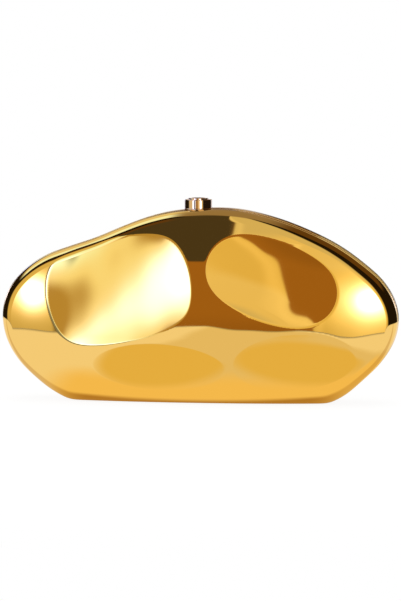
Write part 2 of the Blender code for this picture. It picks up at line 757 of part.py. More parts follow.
def make_housing():
    """The sheet-metal lock case under the rear frame, its two screws and the button's return spring."""
    left, right = LOCK_X - HOUSING_WIDTH / 2, LOCK_X + HOUSING_WIDTH / 2
    floor, plate = HOUSING_FLOOR, HOUSING_TOP - HOUSING_WALL
    housing = box(
        "lock_housing", (left, HOUSING_FRONT, floor), (right, HOUSING_BACK, HOUSING_TOP), HINGE_STEEL
    )
    inside = box(
        "housing_inside",
        (left + HOUSING_WALL, HOUSING_FRONT - CUT_OVERRUN, floor + HOUSING_WALL),
        (right - HOUSING_WALL, HOUSING_BACK - HOUSING_WALL, plate),
    )
    slot = stem_slot("housing_stem_slot", plate - CUT_OVERRUN, HOUSING_TOP + CUT_OVERRUN)
    cut(housing, inside, slot)
    head_top = plate - LOCK_SCREW_CLEARANCE
    for i, (x, y) in enumerate(lock_screw_places()):
        hole = cylinder(
            f"housing_screw_hole_{i}",
            (x, y, plate - CUT_OVERRUN),
            (x, y, HOUSING_TOP + CUT_OVERRUN),
            LOCK_SCREW_HOLE,
        )
        cut(housing, hole)
        screw = cylinder(
            f"lock_screw_{i + 1}",
            (x, y, head_top - LOCK_SCREW_HEAD),
            (x, y, head_top),
            LOCK_SCREW_HEAD_RADIUS,
            HINGE_STEEL,
        )
        shank = cylinder(
            f"lock_screw_shank_{i}",
            (x, y, head_top - LOCK_SCREW_HEAD / 2),
            (x, y, LOCK_SEAT + SEAT_GAP + LOCK_SCREW_BITE),
            LOCK_SCREW_RADIUS,
        )
        join(screw, shank)
    make_spring(floor + HOUSING_WALL + SPRING_END_GAP, TOOTH_TOP - STIRRUP_TOOTH - SPRING_END_GAP)


def make_spring(low, high):
    """The return spring: one coil from the housing's floor to the stirrup."""
    count = SPRING_TURNS * SPRING_POINTS_A_TURN
    climb = high - low - 2 * SPRING_WIRE_RADIUS
    curve = bpy.data.curves.new("return_spring", "CURVE")
    curve.dimensions = "3D"
    curve.bevel_depth = SPRING_WIRE_RADIUS
    curve.bevel_resolution = 1
    curve.use_fill_caps = True
    spline = curve.splines.new("POLY")
    spline.points.add(count)
    for i, point in enumerate(spline.points):
        angle = 2 * math.pi * i / SPRING_POINTS_A_TURN
        x = LOCK_X + SPRING_RADIUS * math.cos(angle)
        y = STEM_MIDDLE + SPRING_RADIUS * math.sin(angle)
        point.co = (x, y, low + SPRING_WIRE_RADIUS + climb * i / count, 1)
    made = bpy.data.objects.new("return_spring", curve)
    curve.materials.append(HINGE_STEEL)
    CLUTCH.objects.link(made)
    places = [point.co.to_3d() for point in spline.points]
    turns = zip(places, places[SPRING_POINTS_A_TURN:])
    gap = min((above - below).length for below, above in turns) - 2 * SPRING_WIRE_RADIUS
    print(f"return_spring: least gap between its turns {gap / MM:.2f} mm")


def rear_frame_lock_cuts():
    """The stem's slot and the two screw holes through the rear frame."""
    low, high = LOCK_TOP_INNER - CUT_OVERRUN, LOCK_SEAT + CUT_OVERRUN
    holes = [
        cylinder(f"frame_screw_hole_{i}", (x, y, low), (x, y, high), LOCK_SCREW_HOLE)
        for i, (x, y) in enumerate(lock_screw_places())
    ]
    return [stem_slot("frame_stem_slot", low, high), *holes]


def make_catch():
    """The catch: a bent plate riveted under the front frame, whose nose drops behind the stirrup's tooth."""
    top = LOCK_TOP_INNER - HOUSING_TOP_GAP
    tongue_low = TOOTH_TOP + LATCH_CLEARANCE
    tongue_top = tongue_low + CATCH_TONGUE_THICKNESS
    web_back, web_front = -CATCH_SET_BACK, -CATCH_SET_BACK - CATCH_THICKNESS
    half = CATCH_WIDTH / 2
    catch = box(
        "catch_plate",
        (LOCK_X - CATCH_PLATE_WIDTH / 2, -FRAME_WIDTH + JOINT_GAP, top - CATCH_THICKNESS),
        (LOCK_X + CATCH_PLATE_WIDTH / 2, web_back, top),
        HINGE_STEEL,
        FRONT_HALF,
    )
    web = box(
        "catch_web",
        (LOCK_X - half, web_front, tongue_low),
        (LOCK_X + half, web_back, top - CATCH_THICKNESS / 2),
    )
    tongue = box(
        "catch_tongue",
        (LOCK_X - half, web_front, tongue_low),
        (LOCK_X + half, CATCH_REACH, tongue_top),
    )
    nose = box(
        "catch_nose",
        (LOCK_X - half, CATCH_REACH - NOSE_LENGTH, tongue_low - NOSE_DROP),
        (LOCK_X + half, CATCH_REACH, tongue_low + CATCH_TONGUE_THICKNESS / 2),
    )
    join(catch, web, tongue, nose)
    for i, (x, y) in enumerate(catch_rivet_places()):
        hole = cylinder(
            f"catch_hole_{i}",
            (x, y, top - CATCH_THICKNESS - CUT_OVERRUN),
            (x, y, top + CUT_OVERRUN),
            RIVET_RADIUS + RIVET_CLEARANCE,
        )
        cut(catch, hole)
        head_top = top - CATCH_THICKNESS - RIVET_CLEARANCE
        rivet = cylinder(
            f"catch_rivet_{i + 1}",
            (x, y, head_top - LEAF_THICKNESS),
            (x, y, head_top),
            RIVET_HEAD_RADIUS,
            HINGE_STEEL,
            FRONT_HALF,
        )
        shank = cylinder(
            f"catch_rivet_shank_{i}",
            (x, y, head_top - LEAF_THICKNESS / 2),
            (x, y, LOCK_TOP_INNER + RIVET_DEPTH),
            RIVET_RADIUS,
        )
        join(rivet, shank)


def catch_rivet_places():
    return [(LOCK_X + side * CATCH_RIVET_X, -CATCH_RIVET_Y) for side in (-1, 1)]


def front_frame_catch_cuts():
    """Blind holes in the front frame for the catch's rivets."""
    return [
        cylinder(
            f"front_frame_rivet_hole_{i}",
            (x, y, LOCK_TOP_INNER - CUT_OVERRUN),
            (x, y, LOCK_TOP_INNER + RIVET_DEPTH + RIVET_CLEARANCE),
            RIVET_RADIUS + RIVET_CLEARANCE,
        )
        for i, (x, y) in enumerate(catch_rivet_places())
    ]


def make_chain_eyes():
    """Two wire eyes on studs inside the rear frame, for a detachable chain."""
    for name, share in zip(("chain_eye_right", "chain_eye_left"), EYE_STATION_SHARES):
        station = int(share * (len(STATIONS) - STEPS_ALONG_BASE))
        inward = Vector((NORMALS[station][0], 0, NORMALS[station][1]))
        edge = Vector((STATIONS[station][0], EYE_Y, STATIONS[station][1]))
        foot = edge + inward * (FRAME_THICKNESS + SEAT_GAP)
        tip = foot + inward * (EYE_STUD_LENGTH + EYE_WIRE_RADIUS)
        stud = cylinder(name, foot, tip, EYE_STUD_RADIUS, FRAME_METAL)
        centre = foot + inward * (EYE_STUD_LENGTH + EYE_RING_RADIUS)
        bpy.ops.mesh.primitive_torus_add(
            location=centre,
            rotation=(math.radians(90), 0, 0),
            major_segments=ROUND_SIDES // 2,
            minor_segments=SMALL_SIDES // 2,
            major_radius=EYE_RING_RADIUS,
            minor_radius=EYE_WIRE_RADIUS,
        )
        ring = bpy.context.object
        ring.name = name + "_ring"
        ring.users_collection[0].objects.unlink(ring)
        HELPERS.objects.link(ring)
        ring.hide_render = True
        ring.display_type = "WIRE"
        join(stud, ring)


def make_empty(name, place):
    """An empty that stands for a moving body, on its joint's axis."""
    made = bpy.data.objects.new(name, None)
    made.location = place
    CLUTCH.objects.link(made)
    bpy.context.view_layer.update()
    return made


def collection(name):
    made = bpy.data.collections.new(name)
    bpy.context.scene.collection.children.link(made)
    return made


for old in list(bpy.data.objects):
    bpy.data.objects.remove(old)
CLUTCH = collection("clutch_bag")
HELPERS = collection("cutters")

GOLD_PLATED_SHELL = material("gold_plated_shell", (0.93, 0.62, 0.16), 0.05, 1.0)
FRAME_METAL = material("frame_metal", (0.90, 0.66, 0.36), 0.12, 1.0)
CLASP_METAL = material("clasp_metal", (0.86, 0.60, 0.44), 0.10, 1.0)
HINGE_STEEL = material("hinge_steel", (0.78, 0.62, 0.36), 0.25, 1.0)
VELOUR_FLOCK = material("velour_flock", (0.03, 0.02, 0.018), 0.95, 0.0)

HINGE_HALF_LENGTH = BASE_HALF_LENGTH - HINGE_END_MARGIN

# Heights in the lock, from the frame's top edge down
SEAT_REACH = SLEEVE_RADIUS + SLEEVE_FOOT + SEAT_GAP
LOCK_SEAT = min(edge_height(LOCK_X - SEAT_REACH), edge_height(LOCK_X + SEAT_REACH)) - SEAT_DEPTH
SLEEVE_TOP = LOCK_SEAT + SEAT_GAP + SLEEVE_HEIGHT
LOCK_TOP_INNER = LOCK_SEAT + SEAT_DEPTH - FRAME_THICKNESS
HOUSING_TOP = LOCK_TOP_INNER - HOUSING_TOP_GAP
STEM_END = LOCK_TOP_INNER - STEM_BELOW_FRAME
TOOTH_TOP = STEM_END - SEAT_GAP - STIRRUP_TOP_BAR - STIRRUP_WINDOW_HEIGHT
HOUSING_FLOOR = TOOTH_TOP - STIRRUP_TOOTH - HOUSING_SPRING_ROOM - HOUSING_WALL

FRONT_HALF = make_empty("front_half", (0, 0, HINGE_HEIGHT))
BUTTON_SLIDE = make_empty("button_slide", (LOCK_X, 0, SLEEVE_TOP))
LOCK_SEAT_CUTTER = lock_seat_cutter()
FRAME_CUTTERS = frame_cutters()

make_shell("rear_shell", 1, None)
make_shell("front_shell", -1, FRONT_HALF)
cut(make_frame("rear_frame", 1, None), *hinge_rivet_holes(1), *rear_frame_lock_cuts())
cut(make_frame("front_frame", -1, FRONT_HALF), *hinge_rivet_holes(-1), *front_frame_catch_cuts())
make_lining("rear_lining", 1, None)
make_lining("front_lining", -1, FRONT_HALF)
make_hinge()
make_sleeve()
make_button()
make_housing()
make_catch()
make_chain_eyes()
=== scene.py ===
"""A dimpled, gold-plated clutch bag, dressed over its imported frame. The bag faces -Y and stands on z = 0."""

import json
import math

import bmesh
import bpy
import numpy as np
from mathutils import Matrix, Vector

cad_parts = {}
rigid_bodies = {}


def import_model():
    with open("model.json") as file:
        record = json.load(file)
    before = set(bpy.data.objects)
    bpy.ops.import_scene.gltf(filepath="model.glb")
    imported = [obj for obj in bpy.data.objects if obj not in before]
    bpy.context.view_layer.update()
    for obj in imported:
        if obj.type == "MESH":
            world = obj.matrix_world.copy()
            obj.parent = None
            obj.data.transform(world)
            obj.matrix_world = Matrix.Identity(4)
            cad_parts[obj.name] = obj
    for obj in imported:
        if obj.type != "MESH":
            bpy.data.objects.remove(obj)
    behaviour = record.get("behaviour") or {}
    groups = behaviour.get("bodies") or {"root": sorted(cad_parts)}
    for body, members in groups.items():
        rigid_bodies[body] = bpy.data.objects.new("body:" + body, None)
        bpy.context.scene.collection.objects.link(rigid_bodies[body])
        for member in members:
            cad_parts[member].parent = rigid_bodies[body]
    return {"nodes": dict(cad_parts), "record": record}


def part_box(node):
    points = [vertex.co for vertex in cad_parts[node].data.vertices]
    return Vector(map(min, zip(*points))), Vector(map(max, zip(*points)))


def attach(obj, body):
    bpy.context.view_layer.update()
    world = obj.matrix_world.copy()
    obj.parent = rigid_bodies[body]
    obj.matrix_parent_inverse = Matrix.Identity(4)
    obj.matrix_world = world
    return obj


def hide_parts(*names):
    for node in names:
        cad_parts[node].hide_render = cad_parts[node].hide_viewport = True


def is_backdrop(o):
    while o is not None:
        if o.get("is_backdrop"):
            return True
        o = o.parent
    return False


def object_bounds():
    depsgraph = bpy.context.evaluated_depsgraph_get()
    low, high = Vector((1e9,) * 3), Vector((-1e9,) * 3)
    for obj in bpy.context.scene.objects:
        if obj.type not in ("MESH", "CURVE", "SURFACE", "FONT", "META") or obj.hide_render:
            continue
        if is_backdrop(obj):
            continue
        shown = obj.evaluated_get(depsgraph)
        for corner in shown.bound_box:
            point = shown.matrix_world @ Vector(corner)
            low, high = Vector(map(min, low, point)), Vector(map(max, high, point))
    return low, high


for leftover in list(bpy.data.objects):
    bpy.data.objects.remove(leftover)
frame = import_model()
cad_low, cad_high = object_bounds()

# The frame rings
# Two cast brass rings of L section follow the bag's outline. Each has a flange at the joint,
# rounded and polished outside, and a thin tongue that its shell fits over.
MM = 0.001
BAG_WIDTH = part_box("front_frame")[1].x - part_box("front_frame")[0].x
BAG_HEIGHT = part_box("front_frame")[1].z
OUTLINE_SHARES = np.array([
    (0.636, 0.000), (0.707, 0.028), (0.826, 0.126), (0.923, 0.229), (0.982, 0.335), (1.000, 0.428),
    (0.978, 0.534), (0.927, 0.621), (0.821, 0.721), (0.700, 0.808), (0.545, 0.887), (0.364, 0.955),
    (0.218, 0.991), (0.109, 1.000), (-0.018, 0.994), (-0.127, 0.984), (-0.255, 0.953), (-0.382, 0.905),
    (-0.527, 0.843), (-0.655, 0.799), (-0.782, 0.750), (-0.891, 0.673), (-0.966, 0.579), (-1.000, 0.465),
    (-0.987, 0.344), (-0.927, 0.223), (-0.827, 0.116), (-0.727, 0.039), (-0.636, 0.000),
])
OUTLINE_SOFTNESS = 2.5 * MM
JOINT_GAP = 0.3 * MM
FRAME_WIDTH = 4.5 * MM
FRAME_THICKNESS = 4 * MM
FRAME_CROWN = 0.12 * MM
TONGUE_THICKNESS = 1.1 * MM
TONGUE_REACH = 2.3 * MM
FIT_GAP = 0.3 * MM
FRAME_CORNER_RADII = np.array([0.4, 6, 6, 0.35, 0.15, 0.3, 0.3, 0.25]) * MM
FRAME_STATIONS = 640
CURVE_POINTS = 40
BASE_POINTS = 400
MERGE_DISTANCE = 0.0002 * MM


def bag_outline(count):
    """Stations evenly round the bag's outline as (x, z), and the inward normal at each.

    Between knots p0 and p1 a point is (2t^3-3t^2+1)p0 + (t^3-2t^2+t)m0 + (3t^2-2t^3)p1 + (t^3-t^2)m1,
    where a tangent m is the mean slope of the two chords at its knot, weighted to the shorter one.
    The base is straight. A Gaussian round the loop then evens out the curvature.
    """
    knots = OUTLINE_SHARES * (BAG_WIDTH / 2, BAG_HEIGHT)
    chords = np.diff(knots, axis=0)
    lengths = np.linalg.norm(chords, axis=1)[:, None]
    slopes = chords / lengths
    inner = (slopes[:-1] * lengths[1:] + slopes[1:] * lengths[:-1]) / (lengths[:-1] + lengths[1:])
    tangents = np.vstack([(1, 0), inner, (1, 0)])
    t = (np.arange(CURVE_POINTS) / CURVE_POINTS)[None, :, None]
    start, end = knots[:-1, None], knots[1:, None]
    leave, arrive = tangents[:-1, None] * lengths[:, None], tangents[1:, None] * lengths[:, None]
    curve = (2 * t**3 - 3 * t**2 + 1) * start + (t**3 - 2 * t**2 + t) * leave
    curve = curve + (3 * t**2 - 2 * t**3) * end + (t**3 - t**2) * arrive
    base = knots[-1] + (np.arange(BASE_POINTS) / BASE_POINTS)[:, None] * (knots[0] - knots[-1])
    loop = np.vstack([curve.reshape(-1, 2), base, knots[:1]])
    distance = np.append(0, np.cumsum(np.linalg.norm(np.diff(loop, axis=0), axis=1)))
    even = np.arange(count) / count * distance[-1]
    loop = np.column_stack([np.interp(even, distance, loop[:, axis]) for axis in (0, 1)])
    waves = 2 * np.pi * np.arange(count // 2 + 1) / distance[-1]
    blur = np.exp(-0.5 * (waves * OUTLINE_SOFTNESS) ** 2)[:, None]
    loop = np.fft.irfft(np.fft.rfft(loop, axis=0) * blur, count, axis=0)
    along = np.roll(loop, -1, axis=0) - np.roll(loop, 1, axis=0)
    along = along / np.linalg.norm(along, axis=1)[:, None]
    return loop, np.column_stack([-along[:, 1], along[:, 0]])


def rounded(corners, radii, steps=5):
    """A closed outline with each corner turned into an arc of its own radius.

    The arc's centre lies on the corner's bisector, and its points are the two tangent points'
    radius vectors mixed by sin((1-t)w)/sin(w) and sin(tw)/sin(w), where w is the angle it turns.
    """
    corners = np.array(corners, float)
    radii = np.broadcast_to(np.maximum(np.array(radii, float), 1e-9), len(corners))[:, None]
    before = np.roll(corners, 1, axis=0) - corners
    after = np.roll(corners, -1, axis=0) - corners
    before = before / np.linalg.norm(before, axis=1)[:, None]
    after = after / np.linalg.norm(after, axis=1)[:, None]
    half = np.arccos(np.clip((before * after).sum(1), -0.9999, 0.9999))[:, None] / 2
    bisector = (before + after) / np.linalg.norm(before + after, axis=1)[:, None]
    centres = corners + bisector * radii / np.sin(half)
    first = corners + before * radii / np.tan(half) - centres
    last = corners + after * radii / np.tan(half) - centres
    turn = (np.pi - 2 * half)[:, None]
    t = np.linspace(0, 1, steps + 1)[None, :, None]
    arc = (np.sin((1 - t) * turn) * first[:, None] + np.sin(t * turn) * last[:, None]) / np.sin(turn)
    return (centres[:, None] + arc).reshape(-1, 2)


def surface(name, grid, ring=False, crease=40):
    """A closed mesh over a grid of points, whose columns close on themselves, as its rows do for a ring.

    Points that coincide, at a pole or a square corner, are merged, and edges past crease degrees stay sharp.
    """
    rows, columns = grid.shape[:2]
    corner = np.arange(rows * columns).reshape(rows, columns)
    low, high = (corner, np.roll(corner, -1, axis=0)) if ring else (corner[:-1], corner[1:])
    quads = np.stack([low, np.roll(low, -1, axis=1), np.roll(high, -1, axis=1), high], axis=-1)
    mesh = bpy.data.meshes.new(name)
    mesh.from_pydata(grid.reshape(-1, 3).tolist(), [], quads.reshape(-1, 4).tolist())
    made = bpy.data.objects.new(name, mesh)
    bpy.context.scene.collection.objects.link(made)
    return tidied(made, crease)


def tidied(made, crease=40):
    """The piece with its doubles merged, its faces turned outwards and edges smooth up to crease degrees."""
    bm = bmesh.new()
    bm.from_mesh(made.data)
    bmesh.ops.remove_doubles(bm, verts=bm.verts, dist=MERGE_DISTANCE)
    bmesh.ops.recalc_face_normals(bm, faces=bm.faces)
    bm.to_mesh(made.data)
    bm.free()
    made.data.shade_smooth()
    made.data.set_sharp_from_angle(angle=math.radians(crease))
    return made


def swept(name, section, side, stations, normals):
    """A ring with a section of (inset, distance from the joint), carried along the outline."""
    inset, away = section[:, 0, None], side * section[:, 1, None]
    x = stations[None, :, 0] + normals[None, :, 0] * inset
    z = stations[None, :, 1] + normals[None, :, 1] * inset
    return surface(name, np.stack([x, np.broadcast_to(away, x.shape), z], axis=-1), ring=True)


def turned(name, profile, foot, up=(0, 0, 1), columns=64):
    """A body of revolution: profile points (radius, height), turned about the line from foot along up."""
    turn = Vector((0, 0, 1)).rotation_difference(Vector(up)).to_matrix()
    angles = np.arange(columns) / columns * 2 * np.pi
    radius, height = np.array(profile)[:, 0, None], np.array(profile)[:, 1, None]
    grid = np.stack([radius * np.cos(angles), radius * np.sin(angles), height + 0 * angles], axis=-1)
    return surface(name, grid @ np.array(turn).T + np.array(foot))


def block(name, low, high):
    """A box between two corners."""
    (x0, y0, z0), (x1, y1, z1) = low, high
    middle = ((x0 + x1) / 2, (y0 + y1) / 2)
    square = np.array([(x0, y0), (x1, y0), (x1, y1), (x0, y1)])
    rings = [np.tile(middle, (4, 1)), square, square, np.tile(middle, (4, 1))]
    heights = np.repeat([z0, z0, z1, z1], 4).reshape(4, 4)
    return surface(name, np.dstack([np.array(rings), heights]), crease=20)


def combined(piece, others, operation, crease=40):
    """The piece with closed shapes cut out of it or fused to it, exactly. The shapes are used up."""
    group = bpy.data.collections.new("shapes")
    bpy.context.scene.collection.children.link(group)
    for other in others:
        group.objects.link(other)
    change = piece.modifiers.new("shapes", "BOOLEAN")
    change.operation = operation
    change.solver = "EXACT"
    change.operand_type = "COLLECTION"
    change.collection = group
    mesh = bpy.data.meshes.new_from_object(piece.evaluated_get(bpy.context.evaluated_depsgraph_get()))
    piece.modifiers.clear()
    piece.data = mesh
    for other in others:
        bpy.data.objects.remove(other)
    bpy.data.collections.remove(group)
    return tidied(piece, crease)


class Link:
    """A shader socket that takes part in Python expressions."""

    def __init__(self, tree, socket=None):
        self.tree = tree
        self.socket = socket

    def node(self, kind, settings=None, inputs=None, out=0):
        """One output of a new node, given its settings first and then the values or links of its sockets."""
        made = self.tree.nodes.new("ShaderNode" + kind)
        for name, value in (settings or {}).items():
            setattr(made, name, value)
        for name, value in (inputs or {}).items():
            if isinstance(value, Link):
                self.tree.links.new(value.socket, made.inputs[name])
            else:
                made.inputs[name].default_value = value
        return Link(self.tree, made.outputs[out])

    def math(self, operation, *values):
        """A Math node on numbers or links."""
        return self.node("Math", {"operation": operation}, dict(enumerate(values)))

    def __add__(self, other):
        return self.math("ADD", self, other)

    def __sub__(self, other):
        return self.math("SUBTRACT", self, other)

    def __rsub__(self, other):
        return self.math("SUBTRACT", other, self)

    def __mul__(self, other):
        return self.math("MULTIPLY", self, other)

    def __truediv__(self, other):
        return self.math("DIVIDE", self, other)

    __radd__ = __add__
    __rmul__ = __mul__

    def plus(self, other):
        """Two colours added."""
        return self.node("VectorMath", {"operation": "ADD"}, {0: self, 1: other})

    def tinted(self, colour):
        """This number times a colour."""
        return self.node("VectorMath", {"operation": "SCALE"}, {0: colour, "Scale": self})

    def dimmed(self, amount):
        """This colour times a number."""
        return self.node("VectorMath", {"operation": "SCALE"}, {0: self, "Scale": amount})

    def step(self, low, high):
        """0 below low and 1 above high, with a smooth rise between them."""
        smooth = {"interpolation_type": "SMOOTHSTEP"}
        return self.node("MapRange", smooth, {"Value": self, "From Min": low, "From Max": high})

    def mix(self, first, second):
        """The first colour where this is 0 and the second where it is 1."""
        return self.node("Mix", {"data_type": "RGBA"}, {0: self, 6: first, 7: second}, 2)

    def bell(self):
        """A smooth hill, 1 where this squared distance is 0 and near 0 from about 4."""
        return self.math("EXPONENT", 0 - self)

    def noise(self, scale, detail=2.0, stretch=(1, 1, 1)):
        """Noise from 0 to 1 on these coordinates, in features of 1/scale metres."""
        place = self.node("Mapping", {}, {"Vector": self, "Scale": stretch})
        return self.node("TexNoise", {}, {"Vector": place, "Scale": scale, "Detail": detail})

    def bump(self, height, strength, distance):
        """A normal bent by a height from 0 to 1, over a distance in metres."""
        return self.node("Bump", {}, {"Height": height, "Strength": strength, "Distance": distance})


def finish_named(name, **sockets):
    """A material, the Link that starts its expressions, and its Principled shader with even values set."""
    made = bpy.data.materials.new(name)
    made.use_nodes = True
    shader = made.node_tree.nodes["Principled BSDF"]
    for socket, value in sockets.items():
        shader.inputs[socket.replace("_", " ")].default_value = value
    start = Link(made.node_tree)
    return made, start.node("TexCoord", {}, {}, "Object"), shader


def feed(shader, **links):
    """Joins links to the shader's sockets."""
    for socket, link in links.items():
        link.tree.links.new(link.socket, shader.inputs[socket.replace("_", " ")])


BODY_OF = {node: body for body, nodes in frame["record"]["behaviour"]["bodies"].items() for node in nodes}


def dress(piece, node, finish):
    """Gives a finished piece its metal or cloth and puts it in place of its CAD node."""
    piece.data.materials.clear()
    piece.data.materials.append(finish)
    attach(piece, BODY_OF[node])
    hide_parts(node)


# The rings are polished and lacquered over light brass: a cast skin shows as faint ripples, and
# handling leaves slightly duller patches.
BRASS_RED = (0.93, 0.66, 0.33, 1)
BRASS_PALE = (0.90, 0.70, 0.42, 1)
frame_brass, at, shader = finish_named("champagne_brass", Metallic=1.0)
patches = at.noise(scale=90, detail=3)
feed(
    shader,
    Base_Color=patches.mix(BRASS_RED, BRASS_PALE),
    Roughness=0.03 + patches * 0.05,
    Normal=at.bump(at.noise(scale=300), strength=0.04, distance=0.05 * MM),
)

LOCK_X = (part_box("lock_sleeve")[0].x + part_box("lock_sleeve")[1].x) / 2
HINGE_HEIGHT = (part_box("hinge_pin")[0].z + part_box("hinge_pin")[1].z) / 2
HINGE_HALF_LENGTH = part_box("hinge_pin")[1].x
SWING_HALF_ANGLE = 37
CHANNEL_HALF_WIDTH = 2.4 * MM
LOCK_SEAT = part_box("lock_sleeve")[0].z - FIT_GAP
SEAT_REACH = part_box("lock_sleeve")[1].x - LOCK_X + FIT_GAP
OVERRUN = 1 * MM
STEM_HALF_WIDTH = 2.25 * MM
HOLE_CLEARANCE = 0.15 * MM
RIVET_RADIUS = 0.6 * MM
HOLE_RADIUS = RIVET_RADIUS + HOLE_CLEARANCE


def swing_room():
    """A wedge below the hinge axis, cut away so that the frames' lower edges clear each other."""
    depth = HINGE_HEIGHT + OVERRUN
    spread = depth * math.tan(math.radians(SWING_HALF_ANGLE))
    ground = HINGE_HEIGHT - depth
    corners = np.array([(0, HINGE_HEIGHT), (spread, ground), (-spread, ground)])
    middle = np.tile(corners.mean(axis=0), (3, 1))
    rings = np.stack([middle, corners, corners, middle])
    ends = np.array([-BAG_WIDTH / 2, -BAG_WIDTH / 2, BAG_WIDTH / 2, BAG_WIDTH / 2])
    x = np.broadcast_to(ends[:, None], rings.shape[:2])
    return surface("swing_room", np.dstack([x, rings]), crease=20)


def lock_seat():
    """The flat round place on top that the lock's sleeve stands on."""
    top = cad_high.z - LOCK_SEAT + OVERRUN
    return turned("seat", [(0, 0), (SEAT_REACH, 0), (SEAT_REACH, top), (0, top)], (LOCK_X, 0, LOCK_SEAT))


def stem_slot(low, high):
    """A slot between two heights, through which the button's stem slides."""
    near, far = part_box("latch_stirrup")
    reach = STEM_HALF_WIDTH + FIT_GAP
    return block(
        "stem_slot",
        (LOCK_X - reach, near.y - FIT_GAP, low),
        (LOCK_X + reach, far.y + FIT_GAP, high),
    )


def foot_of(node):
    """The middle of the lower end of a node's box, and the box's height."""
    low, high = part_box(node)
    return ((low.x + high.x) / 2, (low.y + high.y) / 2, low.z), high.z - low.z


def hole_for(node, radius=HOLE_RADIUS):
    """A straight hole about a rivet or screw, from just under it to just above it."""
    foot, length = foot_of(node)
    bottom, top = -HOLE_CLEARANCE, length + HOLE_CLEARANCE
    return turned("hole", [(0, bottom), (radius, bottom), (radius, top), (0, top)], foot, columns=32)


stations, normals = bag_outline(FRAME_STATIONS)
shoulder = FRAME_THICKNESS - TONGUE_THICKNESS
frame_section = rounded(
    [
        (FRAME_CROWN, JOINT_GAP / 2),
        (0, FRAME_WIDTH / 4),
        (0, 3 * FRAME_WIDTH / 4),
        (FRAME_CROWN, FRAME_WIDTH),
        (shoulder, FRAME_WIDTH),
        (shoulder, FRAME_WIDTH + TONGUE_REACH),
        (FRAME_THICKNESS, FRAME_WIDTH + TONGUE_REACH),
        (FRAME_THICKNESS, JOINT_GAP / 2),
    ],
    FRAME_CORNER_RADII,
)
for half, side in (("front", -1), ("rear", 1)):
    ring = swept(f"{half}_frame_polished", frame_section, side, stations, normals)
    channel = block(
        "channel",
        (-HINGE_HALF_LENGTH - FIT_GAP, -CHANNEL_HALF_WIDTH, -OVERRUN),
        (HINGE_HALF_LENGTH + FIT_GAP, CHANNEL_HALF_WIDTH, FRAME_THICKNESS + OVERRUN),
    )
    holes = [hole_for(f"hinge_rivet_{half}_{i}") for i in (1, 2, 3, 4)]
    if half == "front":
        holes += [hole_for("catch_rivet_1"), hole_for("catch_rivet_2")]
    else:
        holes += [hole_for("lock_screw_1"), hole_for("lock_screw_2")]
        holes.append(stem_slot(LOCK_SEAT - FRAME_THICKNESS - OVERRUN, LOCK_SEAT + OVERRUN))
    combined(ring, [swing_room(), channel, lock_seat(), *holes], "DIFFERENCE")
    dress(ring, f"{half}_frame", frame_brass)

# The shells
# Two moulded shells, vacuum plated in mirror gold. Each is a shallow dome with a rounded edge
# and four soft-edged dimples, and its rim butts on the frame's flange.
CREST_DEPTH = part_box("rear_shell")[1].y
CREST_HEIGHT = 38 * MM
TIP_DEPTH = 12 * MM
TOP_DEPTH = 15 * MM
BASE_DEPTH = 17 * MM
DOME_POWER = 2.2
SHELL_INSET = 0.4 * MM
SHELL_WALL = 2 * MM
SHELL_RIM = FRAME_WIDTH + FIT_GAP
SHELL_EDGE_RADIUS = 6 * MM
DIMPLES = [
    ((-0.385, 0.588), (0.368, 0.262), 13, 3.6 * MM, 0.7, 0.3),
    ((0.378, 0.640), (0.335, 0.202), -20, 3.4 * MM, 0.35, 0.1),
    ((-0.185, 0.200), (0.332, 0.121), -2, 1.3 * MM, 0, 0),
    ((0.489, 0.230), (0.300, 0.149), 4, 1.3 * MM, 0, 0),
]
DIMPLE_EDGE_SHARE = 0.005
RIPPLE_HEIGHT = 0.018 * MM
RIPPLE_LENGTH = 22 * MM
RIPPLE_SINES = 6
RIPPLE_TURN = 2.4
RIPPLE_FIRST_SHARE = 0.7
RIPPLE_SHARE_STEP = 0.12
SHELL_LIP = 0.3 * MM
SHELL_COLUMNS = 400
SHELL_FACE_ROWS = 176
EDGE_ROW_POWER = 1.25
OUTER_WALL_ROWS = 6
INNER_WALL_ROWS = 4
INNER_COARSENESS = 8
ARC_ROWS = 15
RIM_ROWS = 9
LEAST_INNER_RADIUS = 0.5 * MM


